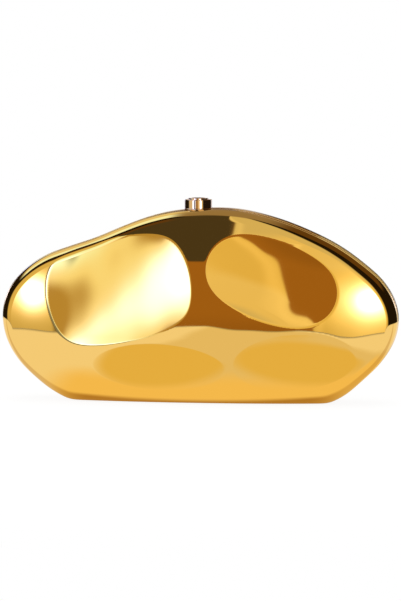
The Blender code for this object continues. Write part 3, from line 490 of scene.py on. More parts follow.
def face_depth(x, z):
    """Depth of a shell's face from the joint plane at (x, z).

    A dome falls from its crest by a power of the distance to the ends, the top and the base. With a
    and b the shares of a dimple's half length and half height, the dimple takes off its depth times a
    soft max(0, f) of f = (1 - a^2 - b^2 + s a^2 b^2)(1 + k ab / (1 + a^2 b^2)), where s squares its
    corners and fades away outside it, and k leans it. Ripples are a mean of sines in turned directions.
    """
    up = np.clip((z - CREST_HEIGHT) / (BAG_HEIGHT - CREST_HEIGHT), 0, None)
    down = np.clip((CREST_HEIGHT - z) / CREST_HEIGHT, 0, None)
    depth = CREST_DEPTH - (CREST_DEPTH - TIP_DEPTH) * np.abs(2 * x / BAG_WIDTH) ** DOME_POWER
    depth = depth - (CREST_DEPTH - TOP_DEPTH) * up**DOME_POWER
    depth = depth - (CREST_DEPTH - BASE_DEPTH) * down**DOME_POWER
    for centre, half, tilt, dent, squareness, lean in DIMPLES:
        dx = x - centre[0] * BAG_WIDTH / 2
        dz = z - centre[1] * BAG_HEIGHT
        turn = math.radians(tilt)
        along = (dx * math.cos(turn) + dz * math.sin(turn)) / (half[0] * BAG_WIDTH / 2)
        across = (dz * math.cos(turn) - dx * math.sin(turn)) / (half[1] * BAG_HEIGHT)
        corners = squareness * (along * across) ** 2 / ((1 + along**8) * (1 + across**8)) ** 0.25
        skew = along * across / (1 + (along * across) ** 2)
        bowl = (1 - along**2 - across**2 + corners) * (1 + lean * skew)
        depth = depth - dent * DIMPLE_EDGE_SHARE * np.logaddexp(0, bowl / DIMPLE_EDGE_SHARE)
    i = np.arange(RIPPLE_SINES).reshape((-1,) + (1,) * np.ndim(x))
    way = i * RIPPLE_TURN
    length = RIPPLE_LENGTH * (RIPPLE_FIRST_SHARE + RIPPLE_SHARE_STEP * i)
    ripples = np.sin(2 * np.pi * (x * np.cos(way) + z * np.sin(way)) / length + i**2).mean(axis=0)
    return depth - RIPPLE_HEIGHT * (1 + ripples)


def dish(name, side, inset, rim, lip, radius, wall, drop, columns, rows):
    """A closed dish, from the middle of its outer face to its rim and back inside to the middle.

    A skin is a straight wall, an arc of inset radius(1-cos a) and fall radius(1-sin a), and a face drawn
    in from the arc's end to the crest in rows that lie closer at the edge. The inner skin is one wall
    further in, and a half round joins the two at the rim.
    """
    stations, normals = bag_outline(columns)
    hub = np.array((0, CREST_HEIGHT))

    def skin(inset, radius, drop, wall_rows, face_rows):
        def at_inset(amount, fall):
            loop = stations + normals * amount
            return np.column_stack([loop, face_depth(*loop.T) - drop - fall])

        foot = at_inset(inset, radius)
        shares = np.linspace(0, 1, wall_rows)[:, None, None]
        start = np.column_stack([foot[:, :2], np.full(columns, rim + lip)])
        wall = start + shares * (foot - start)
        turns = np.linspace(0, np.pi / 2, ARC_ROWS)[1:-1]
        arc = [at_inset(inset + radius * (1 - math.cos(a)), radius * (1 - math.sin(a))) for a in turns]
        edge = stations + normals * (inset + radius)
        shares = 1 - np.linspace(0, 1, face_rows)[:, None, None] ** EDGE_ROW_POWER
        face = hub + shares * (edge - hub)
        depth = face_depth(face[..., 0], face[..., 1]) - drop
        return np.concatenate([wall, arc, np.dstack([face, depth])])

    outer = skin(inset, radius, drop, OUTER_WALL_ROWS, rows)
    inner_radius = max(radius - wall, LEAST_INNER_RADIUS)
    inner = skin(inset + wall, inner_radius, drop + wall, INNER_WALL_ROWS, rows // INNER_COARSENESS)
    turns = np.linspace(0, np.pi, RIM_ROWS)[1:-1, None, None]
    middle, half = (outer[0] + inner[0]) / 2, (outer[0] - inner[0]) / 2
    rim_arc = middle + half * np.cos(turns) - (0, 0, 1) * np.sin(turns) * lip
    grid = np.concatenate([outer[::-1], rim_arc, inner])
    return surface(name, np.stack([grid[..., 0], side * grid[..., 2], grid[..., 1]], axis=-1))


GOLD_RED = (0.960, 0.635, 0.180, 1)
GOLD_PALE = (0.955, 0.645, 0.200, 1)
gold_plate, at, shader = finish_named("mirror_gold_plate", Metallic=1.0)
smears = at.noise(scale=45, detail=3).step(0.45, 0.75)
grain = at.noise(scale=900)
feed(
    shader,
    Base_Color=at.noise(scale=25).mix(GOLD_RED, GOLD_PALE),
    Roughness=0.015 + smears * 0.015 + grain * 0.01,
    Normal=at.bump(at.noise(scale=160), strength=0.02, distance=0.05 * MM),
)
for half, side in (("front", -1), ("rear", 1)):
    shell = dish(
        f"{half}_shell_plated", side, inset=SHELL_INSET, rim=SHELL_RIM, lip=SHELL_LIP,
        radius=SHELL_EDGE_RADIUS, wall=SHELL_WALL, drop=0, columns=SHELL_COLUMNS, rows=SHELL_FACE_ROWS,
    )
    combined(shell, [lock_seat()], "DIFFERENCE")
    dress(shell, f"{half}_shell", gold_plate)

# The linings
# Two stiff trays, flocked in a short dark velour and pressed into the shells, so that their rolled
# rims stand just behind the frames' flanges.
LINING_INSET = 4.5 * MM
LINING_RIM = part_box("rear_lining")[0].y
LINING_WALL = 1 * MM
LINING_GAP = 0.7 * MM
LINING_EDGE_RADIUS = 2 * MM
LINING_LIP = 0.4 * MM
LINING_COLUMNS = 360
LINING_FACE_ROWS = 72
VELOUR_DARK = (0.020, 0.013, 0.010, 1)
VELOUR_LIGHT = (0.052, 0.034, 0.026, 1)
velour, at, shader = finish_named("velour_flock", Roughness=0.92, Sheen_Weight=0.35, Sheen_Roughness=0.4)
pile = at.noise(scale=2600, detail=3)
nap = at.noise(scale=70, detail=4).step(0.35, 0.7)
feed(
    shader,
    Base_Color=(nap * 0.7 + pile * 0.3).mix(VELOUR_DARK, VELOUR_LIGHT),
    Normal=at.bump(pile, strength=0.6, distance=0.3 * MM),
)
for half, side in (("front", -1), ("rear", 1)):
    tray = dish(
        f"{half}_lining_flocked", side, inset=LINING_INSET, rim=LINING_RIM, lip=LINING_LIP,
        radius=LINING_EDGE_RADIUS, wall=LINING_WALL, drop=SHELL_WALL + LINING_GAP,
        columns=LINING_COLUMNS, rows=LINING_FACE_ROWS,
    )
    dress(tray, f"{half}_lining", velour)

# The piano hinge
# Two strips of plated steel, each rolled round the pin in every second knuckle and fastened to its
# frame's flange with four countersunk rivets.
STEEL_DARK = (0.74, 0.56, 0.30, 1)
STEEL_LIGHT = (0.82, 0.66, 0.40, 1)
plated_steel, at, shader = finish_named("plated_hinge_steel", Metallic=1.0)
brush = at.noise(scale=300, detail=3, stretch=(0.15, 6, 6))
feed(
    shader,
    Base_Color=brush.mix(STEEL_DARK, STEEL_LIGHT),
    Roughness=0.20 + brush * 0.14,
    Normal=at.bump(brush, strength=0.15, distance=0.05 * MM),
)
BARREL_RADIUS = HINGE_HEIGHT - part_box("hinge_leaf_rear")[0].z
LEAF_THICKNESS = 0.8 * MM
LEAF_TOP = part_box("hinge_rivet_rear_1")[1].z
LEAF_LOW = LEAF_TOP - LEAF_THICKNESS
LEAF_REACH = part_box("hinge_leaf_rear")[1].y
ROLL_END_ANGLE = 22
ROLL_POINTS = 40
KNUCKLES = 7
KNUCKLE_GAP = 0.3 * MM
RIVET_HEAD_RADIUS = 1.1 * MM
RIVET_SINK = 3 * LEAF_THICKNESS / 4
PIN_CHAMFER = 0.2 * MM


def rivet_profile(extra, overrun):
    """A countersunk rivet's profile from its foot, wider by extra and longer at the head by overrun."""
    length = foot_of("hinge_rivet_rear_1")[1]
    flare = (RIVET_HEAD_RADIUS - RIVET_RADIUS) / RIVET_SINK * overrun
    shank, head = RIVET_RADIUS + extra, RIVET_HEAD_RADIUS + extra
    return [
        (0, -extra), (shank, -extra), (shank, length - RIVET_SINK), (head, length),
        (head + flare, length + overrun), (0, length + overrun),
    ]


def rolled_knuckle(name, side, start, end):
    """A knuckle: a strip that runs in level above the pin, then turns down and round it almost to itself."""
    inner = BARREL_RADIUS - LEAF_THICKNESS
    angles = np.radians(np.linspace(90, 360 + ROLL_END_ANGLE, ROLL_POINTS))
    ring = np.column_stack([np.cos(angles), np.sin(angles)])
    strip = BARREL_RADIUS + 2 * KNUCKLE_GAP
    section = np.vstack([(strip, BARREL_RADIUS), ring * BARREL_RADIUS, ring[::-1] * inner, (strip, inner)])
    y, z = side * section[:, 0], HINGE_HEIGHT + section[:, 1]
    half = len(section) // 2
    walls = np.column_stack([y, z]).reshape(-1, 2)
    spine = (walls + walls[::-1]) / 2
    x = np.array([start, start, end, end])[:, None] + np.zeros(2 * half)
    rings = np.stack([spine, walls, walls, spine])
    return surface(name, np.dstack([x, rings]), crease=35)


pitch = 2 * HINGE_HALF_LENGTH / KNUCKLES
for half, side, first in (("rear", 1, 0), ("front", -1, 1)):
    edges = sorted((side * (BARREL_RADIUS + KNUCKLE_GAP), side * LEAF_REACH))
    leaf = block(
        f"hinge_leaf_{half}_rolled",
        (-HINGE_HALF_LENGTH, edges[0], LEAF_LOW),
        (HINGE_HALF_LENGTH, edges[1], LEAF_TOP),
    )
    starts = -HINGE_HALF_LENGTH + np.arange(first, KNUCKLES, 2) * pitch + KNUCKLE_GAP / 2
    rolls = [rolled_knuckle("knuckle", side, start, start + pitch - KNUCKLE_GAP) for start in starts]
    combined(leaf, rolls, "UNION", crease=35)
    holes = []
    for i in (1, 2, 3, 4):
        node = f"hinge_rivet_{half}_{i}"
        foot, length = foot_of(node)
        holes.append(turned("hole", rivet_profile(HOLE_CLEARANCE, OVERRUN), foot, columns=32))
        rivet = turned(f"{node}_set", rivet_profile(0, 0)[:4] + [(0, length)], foot, columns=32)
        dress(rivet, node, plated_steel)
    combined(leaf, holes, "DIFFERENCE", crease=35)
    dress(leaf, f"hinge_leaf_{half}", plated_steel)

low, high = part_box("hinge_pin")
pin_radius = (high.z - low.z) / 2
pin_length = high.x - low.x
pin_profile = [
    (0, 0), (pin_radius - PIN_CHAMFER, 0), (pin_radius, PIN_CHAMFER), (pin_radius, pin_length - PIN_CHAMFER),
    (pin_radius - PIN_CHAMFER, pin_length), (0, pin_length),
]
pin = turned("hinge_pin_drawn", pin_profile, (low.x, 0, HINGE_HEIGHT), up=(1, 0, 0), columns=32)
dress(pin, "hinge_pin", plated_steel)

# The lock's sleeve and push button
# A turned sleeve of rose-gold plated brass stands on the rear frame, with a beaded foot and a
# rounded lip. The dished button slides inside it on a flat stem.
ROSE_RED = (0.93, 0.66, 0.52, 1)
ROSE_PALE = (0.90, 0.70, 0.58, 1)
rose_gold, at, shader = finish_named("rose_gold_plate", Metallic=1.0)
wipes = at.noise(scale=350, detail=3, stretch=(1, 1, 0.3))
lathe_lines = at.noise(scale=1400, stretch=(1, 1, 3))
feed(
    shader,
    Base_Color=wipes.mix(ROSE_RED, ROSE_PALE),
    Roughness=0.02 + wipes * 0.03,
    Normal=at.bump(lathe_lines, strength=0.05, distance=0.03 * MM),
)
SLEEVE_BORE = 5.8 * MM
SLEEVE_FOOT = 0.3 * MM
SLEEVE_FOOT_HEIGHT = 0.9 * MM
SLEEVE_FLOOR = 1.5 * MM
SLEEVE_CORNER_RADII = np.array([0, 0.4, 0.4, 0.12, 0.55, 0.5, 0.3, 0]) * MM
low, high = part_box("lock_sleeve")
height = high.z - low.z
foot_radius = (high.x - low.x) / 2
sleeve_radius = foot_radius - SLEEVE_FOOT
sleeve_profile = rounded(
    [
        (0, 0), (foot_radius, 0), (foot_radius, SLEEVE_FOOT_HEIGHT), (sleeve_radius, SLEEVE_FOOT_HEIGHT),
        (sleeve_radius, height), (SLEEVE_BORE, height), (SLEEVE_BORE, SLEEVE_FLOOR), (0, SLEEVE_FLOOR),
    ],
    SLEEVE_CORNER_RADII,
    steps=8,
)
sleeve = turned("lock_sleeve_turned", sleeve_profile, (LOCK_X, 0, low.z), columns=128)
slot = stem_slot(low.z - OVERRUN, low.z + SLEEVE_FLOOR + OVERRUN)
combined(sleeve, [slot, hole_for("lock_screw_1"), hole_for("lock_screw_2")], "DIFFERENCE", crease=50)
dress(sleeve, "lock_sleeve", rose_gold)

BUTTON_THICKNESS = 3.3 * MM
BUTTON_DISH_DEPTH = 0.4 * MM
BUTTON_DISH_RADIUS = 4.4 * MM
BUTTON_DISH_POINTS = 16
BUTTON_CORNER_RADII = np.array([0, 0.3, 0.35, 0]) * MM
STEM_OVERLAP = 0.4 * MM
STIRRUP_SCREW_HOLE = 0.5 * MM
button_low, button_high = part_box("push_button")
stirrup_low, stirrup_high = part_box("latch_stirrup")
button_radius = (button_high.x - button_low.x) / 2
# At a share s of the dish's radius, the top lies lower by the dish's depth times (1 - s^4)^2.
share = np.linspace(0, 1, BUTTON_DISH_POINTS)
dish_heights = BUTTON_THICKNESS - BUTTON_DISH_DEPTH * (1 - share**4) ** 2
button_profile = rounded(
    [(0, 0), (button_radius, 0), (button_radius, BUTTON_THICKNESS), (BUTTON_DISH_RADIUS, BUTTON_THICKNESS)],
    BUTTON_CORNER_RADII,
)
dish_points = np.column_stack([BUTTON_DISH_RADIUS * share, dish_heights])
button_profile = np.vstack([button_profile, dish_points[::-1]])
button = turned(
    "push_button_turned", button_profile, (LOCK_X, 0, button_high.z - BUTTON_THICKNESS), columns=128
)
stem = block(
    "stem",
    (LOCK_X - STEM_HALF_WIDTH, stirrup_low.y, button_low.z),
    (LOCK_X + STEM_HALF_WIDTH, stirrup_high.y, button_high.z - BUTTON_THICKNESS + STEM_OVERLAP),
)
combined(button, [stem], "UNION", crease=50)
combined(button, [hole_for("stirrup_screw", STIRRUP_SCREW_HOLE)], "DIFFERENCE", crease=50)
dress(button, "push_button", rose_gold)

# The lock's works
# Under the rear frame hangs a folded sheet-steel case with the latch stirrup, its screws and the
# spring that lifts the button. The catch plate is riveted under the front frame.
SHEET_EDGE = 0.12 * MM
SOLID_MERGE_DISTANCE = 0.001 * MM
HEAD_ROUNDING_SHARE = 0.8
SHANK_CORNER_RADII = np.array([0.05, 0.02, 0.1]) * MM
# Each screw or rivet has its head's radius, its head's height and its shank's radius.
LOCK_SCREW = (0.9 * MM, 0.8 * MM, 0.6 * MM)
CATCH_RIVET = (1.1 * MM, 0.8 * MM, 0.6 * MM)
STIRRUP_SCREW = (0.7 * MM, 0.5 * MM, 0.4 * MM)


def eased(node):
    """A copy of a CAD node with its triangles merged and its sharp edges eased, as tumbling leaves them."""
    made = bpy.data.objects.new(f"{node}_pressed", frame["nodes"][node].data.copy())
    bpy.context.scene.collection.objects.link(made)
    bm = bmesh.new()
    bm.from_mesh(made.data)
    bmesh.ops.remove_doubles(bm, verts=bm.verts, dist=SOLID_MERGE_DISTANCE)
    bmesh.ops.dissolve_limit(bm, angle_limit=math.radians(1), verts=bm.verts, edges=bm.edges)
    bm.to_mesh(made.data)
    bm.free()
    bevel = made.modifiers.new("eased", "BEVEL")
    bevel.width = SHEET_EDGE
    bevel.segments = 2
    bevel.limit_method = "ANGLE"
    bevel.angle_limit = math.radians(40)
    mesh = bpy.data.meshes.new_from_object(made.evaluated_get(bpy.context.evaluated_depsgraph_get()))
    made.modifiers.clear()
    made.data = mesh
    return tidied(made, crease=30)


for node in ("latch_stirrup", "lock_housing", "catch_plate"):
    dress(eased(node), node, plated_steel)


def headed_pin(node, head_radius, head_height, shank_radius):
    """A rivet or screw with its head below: a domed head, then a plain shank up into the metal."""
    foot, length = foot_of(node)
    profile = rounded(
        [
            (0, 0), (head_radius, 0), (head_radius, head_height), (shank_radius, head_height),
            (shank_radius, length), (0, length),
        ],
        [0, HEAD_ROUNDING_SHARE * head_height, *SHANK_CORNER_RADII, 0],
    )
    dress(turned(f"{node}_set", profile, foot, columns=32), node, plated_steel)


for node in ("lock_screw_1", "lock_screw_2"):
    headed_pin(node, *LOCK_SCREW)
for node in ("catch_rivet_1", "catch_rivet_2"):
    headed_pin(node, *CATCH_RIVET)
headed_pin("stirrup_screw", *STIRRUP_SCREW)


def wire(name, path, radius, columns=16):
    """A round wire along a path of points: circles square to the path, with both ends closed."""
    along = np.gradient(path, axis=0)
    along = along / np.linalg.norm(along, axis=1)[:, None]
    side = np.cross(along, (0, 0, 1))
    side = side / np.linalg.norm(side, axis=1)[:, None]
    lift = np.cross(side, along)
    angles = np.arange(columns) / columns * 2 * np.pi
    circle = np.cos(angles)[:, None] * side[:, None] + np.sin(angles)[:, None] * lift[:, None]
    rings = path[:, None] + radius * circle
    ends = [np.broadcast_to(end, (1, columns, 3)) for end in (path[0], path[-1])]
    return surface(name, np.concatenate([ends[0], rings, ends[1]]), crease=50)


SPRING_WIRE_RADIUS = 0.2 * MM
SPRING_TURNS = 4
SPRING_POINTS = 240
low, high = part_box("return_spring")
spring_radius = (high.y - low.y) / 2 - SPRING_WIRE_RADIUS
spring_middle = (low + high) / 2
turns = np.linspace(0, 2 * np.pi * SPRING_TURNS, SPRING_POINTS)
heights = np.linspace(low.z + SPRING_WIRE_RADIUS, high.z - SPRING_WIRE_RADIUS, SPRING_POINTS)
coil_x = LOCK_X + spring_radius * np.cos(turns)
coil_y = spring_middle.y + spring_radius * np.sin(turns)
coil = np.column_stack([coil_x, coil_y, heights])
dress(wire("return_spring_wound", coil, SPRING_WIRE_RADIUS), "return_spring", plated_steel)

# The chain eyes
# Two brass wire rings, each brazed to a stud that stands on the inside of the rear frame, where a
# detachable chain can clip on.
EYE_RING_RADIUS = 2.6 * MM
EYE_WIRE_RADIUS = 0.6 * MM
EYE_STUD_RADIUS = 0.9 * MM
EYE_STUD_LENGTH = 1.6 * MM
EYE_STUD_RADII = np.array([0, 0.15, 0.4, 0]) * MM
EYE_RING_COLUMNS = 72
EYE_WIRE_ROWS = 20
for node in ("chain_eye_right", "chain_eye_left"):
    low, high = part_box(node)
    middle = (low + high) / 2
    nearest = np.argmin(np.linalg.norm(stations - (middle.x, middle.z), axis=1))
    inward = np.array((normals[nearest][0], 0, normals[nearest][1]))
    across = np.array((inward[2], 0, -inward[0]))
    on_rim = np.array((stations[nearest][0], middle.y, stations[nearest][1]))
    foot = on_rim + inward * (FRAME_THICKNESS + FIT_GAP)
    stud_profile = rounded(
        [
            (0, 0), (EYE_STUD_RADIUS, 0), (EYE_STUD_RADIUS, EYE_STUD_LENGTH + EYE_WIRE_RADIUS),
            (0, EYE_STUD_LENGTH + EYE_WIRE_RADIUS),
        ],
        EYE_STUD_RADII,
    )
    stud = turned(f"{node}_brazed", stud_profile, foot, up=inward, columns=48)
    angles = np.arange(EYE_RING_COLUMNS) / EYE_RING_COLUMNS * 2 * np.pi
    turn = np.arange(EYE_WIRE_ROWS)[:, None] / EYE_WIRE_ROWS * 2 * np.pi
    reach = EYE_RING_RADIUS + EYE_WIRE_RADIUS * np.cos(turn)
    centre = foot + inward * (EYE_STUD_LENGTH + EYE_RING_RADIUS)
    ring_grid = (
        centre
        + (reach * np.cos(angles))[..., None] * across
        + (reach * np.sin(angles))[..., None] * inward
        + (EYE_WIRE_RADIUS * np.sin(turn) + 0 * angles)[..., None] * np.array((0, 1, 0))
    )
    combined(stud, [surface("eye_ring", ring_grid, ring=True)], "UNION", crease=50)
    dress(stud, node, frame_brass)

# The studio's floor
# A plain white table whose white is mostly its own, so that it holds only a faint shadow. The gold
# mirrors it up to an uneven edge of painted shade, with painted warm light in cream and in two warm
# glows, and a painted brown shadow at the bag's foot.
DEGREES = 180 / math.pi
FLOOR_HALF = 6.0
FLOOR_DROP = 0.05 * MM
FLOOR_LIGHT = 0.92
SHADOW_REACH = 400 * MM
SHADOW_CORE = SHADOW_REACH / 3
TABLE_REACH = 550 * MM
# Each wave of the edge has a direction and a spread in degrees, and the share it adds to the reach.
EDGE_WAVES = [(-38, 9, -0.15), (-6, 5.5, 0.45), (31, 8, -0.25)]
EDGE_SHADE_START = 0.89
EDGE_SHADE = 0.6
EDGE_WIDTH = 0.002
TABLE_MATT = (0.9, 0.9, 0.9, 1)
TABLE_WHITE = (1, 1, 1, 1)
TABLE_PALE = (0.95, 0.92, 0.90, 1)
# The next three are painted warm light that the gold throws back on the table.
TABLE_CREAM_LIGHT = (0.82, 0.74, 0.58, 1)
TABLE_FOOT_LIGHT = (0.95, 0.75, 0.36, 1)
TABLE_GLOW_LIGHT = (0.82, 0.65, 0.25, 1)
# A painted shadow under the bag, in brown.
FOOT_SHADOW_BROWN = (0.475, 0.28, 0.08, 1)
CREAM_MIDDLE = 45 * MM
CREAM_HALF = 85 * MM
FOOT_MIDDLE = CREAM_MIDDLE / 2
FOOT_HALF = 95 * MM
BASE_HALF = 60 * MM
FOOT_REACH = 30 * MM
FOOT_NEAR = 13 * MM
FOOT_FAR = 18.5 * MM
FOOT_END_FADE = 0.6
EDGE_FADE = 30 * MM
# Each glow, a painted pool of warm light, has its middle and its half width and depth, and its rim
# lies between two squared shares.
GLOWS = [((-28 * MM, 66 * MM), (42 * MM, 30 * MM)), ((72 * MM, 76 * MM), (46 * MM, 42 * MM))]
GLOW_RIM = (0.6, 1.2)
floor_mesh = bpy.data.meshes.new("floor")
floor_corners = np.array([(-1, -1, 0), (1, -1, 0), (1, 1, 0), (-1, 1, 0)]) * FLOOR_HALF - (0, 0, FLOOR_DROP)
floor_mesh.from_pydata(floor_corners.tolist(), [], [(0, 1, 2, 3)])
floor = bpy.data.objects.new("floor", floor_mesh)
bpy.context.scene.collection.objects.link(floor)
floor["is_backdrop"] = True
paper = bpy.data.materials.new("white_table")
paper.use_nodes = True
start = Link(paper.node_tree)
output = paper.node_tree.nodes["Material Output"]
paper.node_tree.nodes.remove(paper.node_tree.nodes["Principled BSDF"])
at = start.node("TexCoord", {}, {}, "Object")
reach = at.node("VectorMath", {"operation": "LENGTH"}, {0: at}, "Value")
own_light = FLOOR_LIGHT + reach.step(SHADOW_CORE, SHADOW_REACH) * (1 - FLOOR_LIGHT)
matt = start.node("BsdfDiffuse", {}, {"Color": TABLE_MATT})
white = start.node("Emission", {}, {"Color": TABLE_WHITE})
plain = start.node("MixShader", {}, {0: own_light, 1: matt, 2: white})
x = at.node("SeparateXYZ", {}, {0: at}, "X")
ahead = at.math("ABSOLUTE", at.node("SeparateXYZ", {}, {0: at}, "Y"))
# Painted warm light on the table: cream straight ahead of the bag, and stronger near its foot.
off_cream = at.math("ABSOLUTE", x - CREAM_MIDDLE).step(CREAM_HALF, CREAM_HALF + EDGE_FADE)
off_foot = at.math("ABSOLUTE", x - FOOT_MIDDLE).step(FOOT_HALF, FOOT_HALF + EDGE_FADE)
foot = (1 - off_foot) * (1 - ahead.step(FOOT_REACH, FOOT_REACH + EDGE_FADE))
table_light_and_shade = foot.mix(off_cream.mix(TABLE_CREAM_LIGHT, TABLE_PALE), TABLE_FOOT_LIGHT)
# Two painted pools of warm light.
for (middle, distance), (half_x, half_y) in GLOWS:
    off = (x - middle) / half_x
    out = (ahead - distance) / half_y
    table_light_and_shade = (off * off + out * out).step(*GLOW_RIM).mix(TABLE_GLOW_LIGHT, table_light_and_shade)
# A painted brown shadow on the table right under the bag's foot, fading towards the ends of the base.
off_base = at.math("ABSOLUTE", x).step(BASE_HALF, BASE_HALF + EDGE_FADE)
foot_shadow = (1 - ahead.step(FOOT_NEAR, FOOT_FAR)) * (1 - off_base * FOOT_END_FADE)
table_light_and_shade = foot_shadow.mix(table_light_and_shade, FOOT_SHADOW_BROWN)
aside = at.math("ARCTAN2", x, ahead) * DEGREES
edge = TABLE_REACH
for direction, spread, share in EDGE_WAVES:
    off = (aside - direction) / spread
    edge = edge + (off * off).bell() * (TABLE_REACH * share)
edge_share = reach / edge
shaded = table_light_and_shade.dimmed(1 - edge_share.step(EDGE_SHADE_START, 1) * EDGE_SHADE)
table = start.node("Emission", {}, {"Color": shaded})
gone = start.node("BsdfTransparent")
mirrored = start.node("MixShader", {}, {0: edge_share.step(1, 1 + EDGE_WIDTH), 1: table, 2: gone})
glossy = start.node("LightPath", {}, {}, "Is Glossy Ray")
seen = start.node("MixShader", {}, {0: glossy, 1: plain, 2: mirrored})
paper.node_tree.links.new(seen.socket, output.inputs["Surface"])
floor_mesh.materials.append(paper)

# The studio's light
# A brown wall, dark above, between two lit panels with a soft box each, under a ceiling, and much the
# same behind the bag. Only reflections show it: an even grey and three lamps light everything else.
WALL_LOW = (0.36, 0.165, 0.03, 1)
WALL_HIGH = (0.07, 0.056, 0.038, 1)
LEFT_NEAR = (0.50, 0.36, 0.13, 1)
LEFT_MIDDLE = (1.0, 1.0, 0.8, 1)
LEFT_FAR = (1.02, 1.4, 1.8, 1)
LEFT_SIDE = (0.74, 0.62, 0.32, 1)
RIGHT_LOW = (0.80, 0.64, 0.26, 1)
RIGHT_MIDDLE = (0.86, 0.74, 0.43, 1)
RIGHT_HIGH = (0.70, 0.64, 0.44, 1)
RIGHT_EDGE_GLOW = (0.13, 0.12, 0.10)
ROOM_DARK = (0.015, 0.010, 0.005, 1)
CEILING_GAP = (0.12, 0.06, 0.02, 1)
CEILING_LEFT = (0.85, 0.80, 0.62, 1)
CEILING_STRIP = (1.0, 1.3, 1.8, 1)
CEILING_MIDDLE = (0.32, 0.25, 0.19, 1)
CEILING_RIGHT = (0.12, 0.06, 0.015, 1)
PANEL_GAP = (0.12, 0.08, 0.03, 1)
SHEET = (0.95, 0.95, 0.95, 1)
ROOM_LIGHT = (0.58, 0.58, 0.58, 1)
BACKDROP = (1, 1, 1, 1)
world = bpy.data.worlds.new("studio")
bpy.context.scene.world = world
world.use_nodes = True
start = Link(world.node_tree)
ray = start.node("TexCoord", {}, {}, "Generated")
split = {axis: start.node("SeparateXYZ", {}, {0: ray}, axis) for axis in "XYZ"}

# Directions are in degrees: turn to the right of straight ahead, rise above the horizon, lean to the
# right of straight up, and tall above the horizon as seen from the side.
BEHIND_FACING = (-0.02, 0.02)
turn = start.math("ARCTAN2", split["X"], start.math("ABSOLUTE", split["Y"])) * DEGREES
leftward = 0 - turn
rise = start.math("ARCSINE", split["Z"]) * DEGREES
lean = start.math("ARCTAN2", split["X"], start.math("ABSOLUTE", split["Z"])) * DEGREES
tall = start.math("ARCTAN2", split["Z"], start.math("ABSOLUTE", split["Y"])) * DEGREES
behind = split["Y"].step(*BEHIND_FACING)

# The wall turns dark above, left of the middle. Its right end slants outwards as it rises, juts out
# below the horizon and steps back to the left at the top. Its left end slants outwards from a rise of 20.
DARK_RISE = (18, 18.8)
DARK_TURN = (-2.5, -0.5)
JUT_RISE = (-1.2, -0.4)
JUT_TURN = 14
SLANT_TURN = 1.2
SLANT_RATE = 0.3
SLANT_BEND = 17
SLANT_BEND_RATE = 0.2
TOP_RISE = (24.5, 27)
TOP_TURN = -2
LEFT_END_TURN = 10
LEFT_END_BEND = 20
LEFT_END_RATE = 1.2
slant = SLANT_TURN + rise * SLANT_RATE + start.math("MAXIMUM", rise - SLANT_BEND, 0) * SLANT_BEND_RATE
wall_end = JUT_TURN - rise.step(*JUT_RISE) * (JUT_TURN - slant) - rise.step(*TOP_RISE) * (slant - TOP_TURN)
wall_start = LEFT_END_TURN + start.math("MAXIMUM", rise - LEFT_END_BEND, 0) * LEFT_END_RATE
room = (rise.step(*DARK_RISE) * (1 - turn.step(*DARK_TURN))).mix(WALL_LOW, WALL_HIGH)

# The left panel brightens away from the wall, across lines that slant with the rise, and dims again
# at its side. The right panel is palest in its middle, with a thin glow along the wall's end.
BAND_TURN = 14
BAND_RATE = 0.3
BAND_BEND = 8
BAND_NEAR = (-1.5, 0.6)
BAND_FAR = (0, 4)
LEFT_SIDE_TURN = (30, 33)
LEFT_EDGE_WIDTH = 2
RIGHT_MIDDLE_RISE = (12, 17)
RIGHT_HIGH_RISE = (26, 30)
RIGHT_EDGE_WIDTH = 0.6
EDGE_GLOW_TURN = 1.3
EDGE_GLOW_WIDTH = 0.9
band = leftward - BAND_TURN - rise * BAND_RATE - start.math("MINIMUM", rise, BAND_BEND) * BAND_RATE
left = band.step(*BAND_NEAR).mix(LEFT_NEAR, band.step(*BAND_FAR).mix(LEFT_MIDDLE, LEFT_FAR))
left = leftward.step(*LEFT_SIDE_TURN).mix(left, LEFT_SIDE)
room = (leftward - wall_start).step(0, LEFT_EDGE_WIDTH).mix(room, left)
right = rise.step(*RIGHT_HIGH_RISE).mix(RIGHT_MIDDLE, RIGHT_HIGH)
right = rise.step(*RIGHT_MIDDLE_RISE).mix(RIGHT_LOW, right)
room = (turn - wall_end).step(0, RIGHT_EDGE_WIDTH).mix(room, right)
off = (turn - wall_end - EDGE_GLOW_TURN) / EDGE_GLOW_WIDTH
room = room.plus((off * off).bell().tinted(RIGHT_EDGE_GLOW))

# Past both panels the room is dark, sooner behind the bag, where the ceiling also comes lower. The
# ceiling is dark at the right and light at the left, with a bright strip behind and a dark gap before it.
GAP_TALL = (56, 60)
GAP_LEAN = (-18, -12)
RIGHT_DARK_TURN = (40, 50)
LEFT_DARK_TURN = (72, 84)
LEFT_DARK_BEND = 20
LEFT_DARK_RATE = 0.5
BACK_DARK_TURN = (20, 30)
STRIP_TALL = (64, 70)
CEILING_LEFT_LEAN = (-18, -10)
CEILING_RIGHT_LEAN = (10, 20)
CEILING_RISE = (76, 84)
CEILING_DROP = 50
LOW_RISE = (-6, 1)
LOW_SHADE = 0.15
gap_over = (1 - behind) * tall.step(*GAP_TALL) * (1 - lean.step(*GAP_LEAN))
room = gap_over.mix(room, CEILING_GAP)
far_left = start.math("MAXIMUM", rise - LEFT_DARK_BEND, 0) * LEFT_DARK_RATE + leftward
beyond = start.math("MAXIMUM", turn.step(*RIGHT_DARK_TURN), far_left.step(*LEFT_DARK_TURN))
beyond = start.math("MAXIMUM", beyond, behind * start.math("ABSOLUTE", turn).step(*BACK_DARK_TURN))
room = beyond.mix(room, ROOM_DARK)
ceiling = (behind * tall.step(*STRIP_TALL)).mix(CEILING_LEFT, CEILING_STRIP)
ceiling = lean.step(*CEILING_LEFT_LEAN).mix(ceiling, CEILING_MIDDLE)
